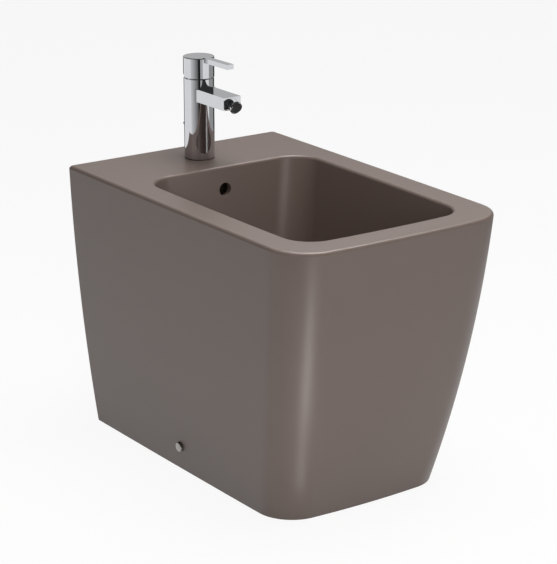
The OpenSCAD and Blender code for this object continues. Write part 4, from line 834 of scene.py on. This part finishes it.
PIPE_R, PIPE_BORE_R, NUT_END, WALL_SIDE = 0.016, 0.0145, 0.003, 0.001
BRANCH_R, OUTLET_Z = 0.019, 0.088
low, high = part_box("trap_inlet_nut")
nut = slip_nut("trap_inlet_slip_nut", high[0], low[2], high[2],
               [(THREAD_R + FIT, low[2] + NUT_END, high[2] + WALL_SIDE),
                (PIPE_R + FIT, low[2] - WALL_SIDE, high[2])],
               at_waste, pipe_chrome)
stand_for(nut, "trap_inlet_nut", "root")
low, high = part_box("trap_top_nut")
nut = slip_nut("trap_top_slip_nut", high[0], low[2], high[2],
               [(THREAD_R + FIT, low[2] - WALL_SIDE, high[2] - NUT_END),
                (PIPE_R + FIT, low[2], high[2] + WALL_SIDE)],
               at_waste, pipe_chrome)
stand_for(nut, "trap_top_nut", "root")
for node in ("trap_inlet_seal", "trap_top_seal", "trap_cup_seal", "trap_outlet_seal"):
    plain(node, rubber)
low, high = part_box("trap_inlet_pipe")
pipe = turned("trap_inlet_pipe_turned",
              [(PIPE_BORE_R, low[2]), (0.0155, low[2]), (PIPE_R, low[2] + 0.0005),
               (PIPE_R, high[2] - 0.0032), (0.0168, high[2] - 0.0020), (0.0205, high[2] - 0.0020),
               (0.0205, high[2]), (PIPE_BORE_R, high[2])],
              at_waste, pipe_chrome)
stand_for(smooth(pipe), "trap_inlet_pipe", "root")
BOTTLE_R, BOTTLE_LOW, BOTTLE_HIGH, NECK_HIGH = 0.030, 0.050, 0.108, 0.120
BOTTLE_BORE_R, BOTTLE_ROOF, SHOULDER_R = 0.027, 0.105, 0.006
bottle = turned("trap_bottle",
                [(0, BOTTLE_LOW), *threaded(BOTTLE_R, 0.0006, 0.002, BOTTLE_LOW, 0.061),
                 *arc(BOTTLE_R - SHOULDER_R, BOTTLE_HIGH - SHOULDER_R, SHOULDER_R, 0, 90, 6),
                 (THREAD_R, BOTTLE_HIGH), *threaded(THREAD_R, 0.0005, 0.0015, BOTTLE_HIGH + 0.0005, 0.1195),
                 (0.0205, NECK_HIGH), (0, NECK_HIGH)], at_waste, pipe_chrome)
BRANCH_L, BRANCH_END = 0.019, WASTE.y + 0.044
branch = turned("branch",
                [(0, -BRANCH_L), (BRANCH_R, -BRANCH_L), (BRANCH_R, -0.0130),
                 *threaded(BRANCH_R, 0.0005, 0.0015, -0.0128, -0.0005), (0.0186, 0), (0, 0)],
                Matrix.Translation((0, BRANCH_END, OUTLET_Z)) @ TO_WALL, pipe_chrome)
cut(bottle, branch, how="UNION")
branch_out = (0, BRANCH_END + 0.001, OUTLET_Z)
cut(bottle,
    rod("branch_way", (0, WASTE.y + 0.022, OUTLET_Z), branch_out, PIPE_BORE_R, pipe_chrome),
    rod("branch_seat", (0, BRANCH_END - 0.007, OUTLET_Z), branch_out, PIPE_R + FIT, pipe_chrome),
    turned("bottle_space",
           [(0, BOTTLE_LOW - 0.001), (BOTTLE_BORE_R, BOTTLE_LOW - 0.001), (BOTTLE_BORE_R, BOTTLE_ROOF),
            (PIPE_R + FIT, BOTTLE_ROOF), (PIPE_R + FIT, NECK_HIGH + 0.001), (0, NECK_HIGH + 0.001)],
           at_waste, pipe_chrome))
stand_for(smooth(bottle, 25), "trap_body", "root")
low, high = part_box("trap_cup")
CUP_R, CUP_EDGE_R, CUP_FLOOR, CUP_SEAT_Z = high[0], 0.0063, 0.003, 0.047
cup = slip_nut("trap_cup_grooved", CUP_R, low[2] - 0.001, high[2], [], at_waste, pipe_chrome, ribs=16,
               depth=0.0012)
cup.modifiers.clear()
above = high[2] + 0.001
cut(cup, turned("cup_form",
                [(0, low[2]), *arc(CUP_R - 0.006, low[2] + CUP_EDGE_R, CUP_EDGE_R, -90, 0, 6),
                 (CUP_R + 0.0003, above), (0, above)], at_waste, pipe_chrome), how="INTERSECT")
cut(cup, turned("cup_space",
                [(0, low[2] + CUP_FLOOR), (BOTTLE_BORE_R, low[2] + CUP_FLOOR), (BOTTLE_BORE_R, CUP_SEAT_Z),
                 (BOTTLE_R + FIT, CUP_SEAT_Z), (BOTTLE_R + FIT, above), (0, above)], at_waste, pipe_chrome))
stand_for(edged(cup, 0.0004, angle=50), "trap_cup", "root")
low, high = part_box("trap_outlet_nut")
at_outlet = Matrix.Translation((0, 0, OUTLET_Z)) @ TO_WALL
nut = slip_nut("trap_outlet_slip_nut", high[0], low[1], high[1],
               [(BRANCH_R + FIT, low[1] - WALL_SIDE, high[1] - NUT_END),
                (PIPE_R + FIT, low[1], high[1] + WALL_SIDE)],
               at_outlet, pipe_chrome)
stand_for(nut, "trap_outlet_nut", "root")
low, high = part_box("outlet_pipe")
bead = high[1] - 0.0415
outlet = turned("outlet_pipe_turned",
                [(PIPE_BORE_R, low[1]), (PIPE_R, low[1]), (PIPE_R, bead - 0.0015),
                 (PIPE_R + 0.0008, bead - 0.0012), (PIPE_R + 0.0014, bead - 0.0004),
                 (PIPE_R + 0.0014, bead + 0.0004), (PIPE_R + 0.0008, bead + 0.0012), (PIPE_R, bead + 0.0015),
                 (PIPE_R, high[1] - 0.0004), (0.0157, high[1]), (PIPE_BORE_R, high[1])],
                at_outlet, pipe_chrome)
stand_for(smooth(outlet, 40), "outlet_pipe", "root")

# ---------------------------------------------------------------- floor fixing
# A bent steel bracket stands inside each wall, screwed to the floor, with a nut welded to it. A
# screw goes through the wall and a plastic bush into that nut, and a turned cap covers its head.
BRACKET_HALF, BRACKET_T, BRACKET_FOOT, BEND_R = 0.022, 0.003, 0.042, 0.006
WELD_NUT_R, WELD_NUT_L, SCREW_BORE_R, FLOOR_BORE_R, FLOOR_BORE_IN = 0.007, 0.008, 0.00305, 0.004, 0.0204
for side, word in ((1, "right"), (-1, "left")):
    low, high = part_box("floor_bracket_" + word)
    edge_x = max(abs(low[0]), abs(high[0]))
    inner_x = edge_x - BRACKET_T
    bend = [(edge_x, high[2]), *arc(edge_x - BEND_R, BEND_R, BEND_R, 0, -90, 6),
            (edge_x - BRACKET_FOOT, 0), (edge_x - BRACKET_FOOT, BRACKET_T),
            *arc(edge_x - BEND_R, BEND_R, BEND_R - BRACKET_T, -90, 0, 6), (inner_x, high[2])]
    bracket = prism("bracket_" + word, bend, -BRACKET_HALF, BRACKET_HALF, zinc)
    bracket.data.transform(Matrix.Translation((0, SCREW_Y, 0)) @ Matrix.Rotation(math.radians(90), 4, "X"))
    nut_x, floor_x = inner_x - WELD_NUT_L, edge_x - FLOOR_BORE_IN
    cut(bracket, across("weld_nut", 1, nut_x, inner_x + 0.001, WELD_NUT_R, zinc), how="UNION")
    cut(bracket,
        rod("screw_bore", (nut_x - 0.001, SCREW_Y, SCREW_Z), (edge_x + 0.001, SCREW_Y, SCREW_Z),
            SCREW_BORE_R, zinc, sides=32),
        rod("floor_bore", (floor_x, SCREW_Y, -0.001), (floor_x, SCREW_Y, BRACKET_T + 0.001), FLOOR_BORE_R,
            zinc, sides=32))
    if side < 0:
        bracket.data.transform(Matrix.Scale(-1, 4, (1, 0, 0)))
        bracket.data.flip_normals()
    stand_for(edged(bracket, 0.0003, angle=50), "floor_bracket_" + word, "root")
plain("side_screws", zinc)
plain("side_bushes", white_plastic)
# The caps' satin finish is real. Their colour is darkened as painted shade for the shadowed floor they
# reflect.
satin_nickel_and_shade = finish("satin_nickel_and_shade", srgb(158, 156, 152), srgb(148, 146, 142), 0.003, 0.24, 0.03,
                      metallic=1.0)
CAP_R, CAP_BORE_R = 0.0070, 0.0051
cap_profile = [(CAP_BORE_R, 0), (CAP_R, 0), (CAP_R, 0.0052), (0.00688, 0.0060), (0.0064, 0.0066),
               (0.0057, CAP_H), (0, CAP_H), (0, 0.0058), (CAP_BORE_R, 0.0058)]
bm = bmesh.new()
for side in (-1, 1):
    outwards = Matrix.Rotation(side * math.radians(90), 4, "Y")
    cap = turned("cap", cap_profile, Matrix.Translation((side * CAP_SEAT_X, SCREW_Y, SCREW_Z)) @ outwards,
                 steps=64)
    bm.from_mesh(cap.data)
    bpy.data.objects.remove(cap)
caps = piece("side_caps_turned", bm, satin_nickel_and_shade)
stand_for(smooth(caps), "side_caps", "root")
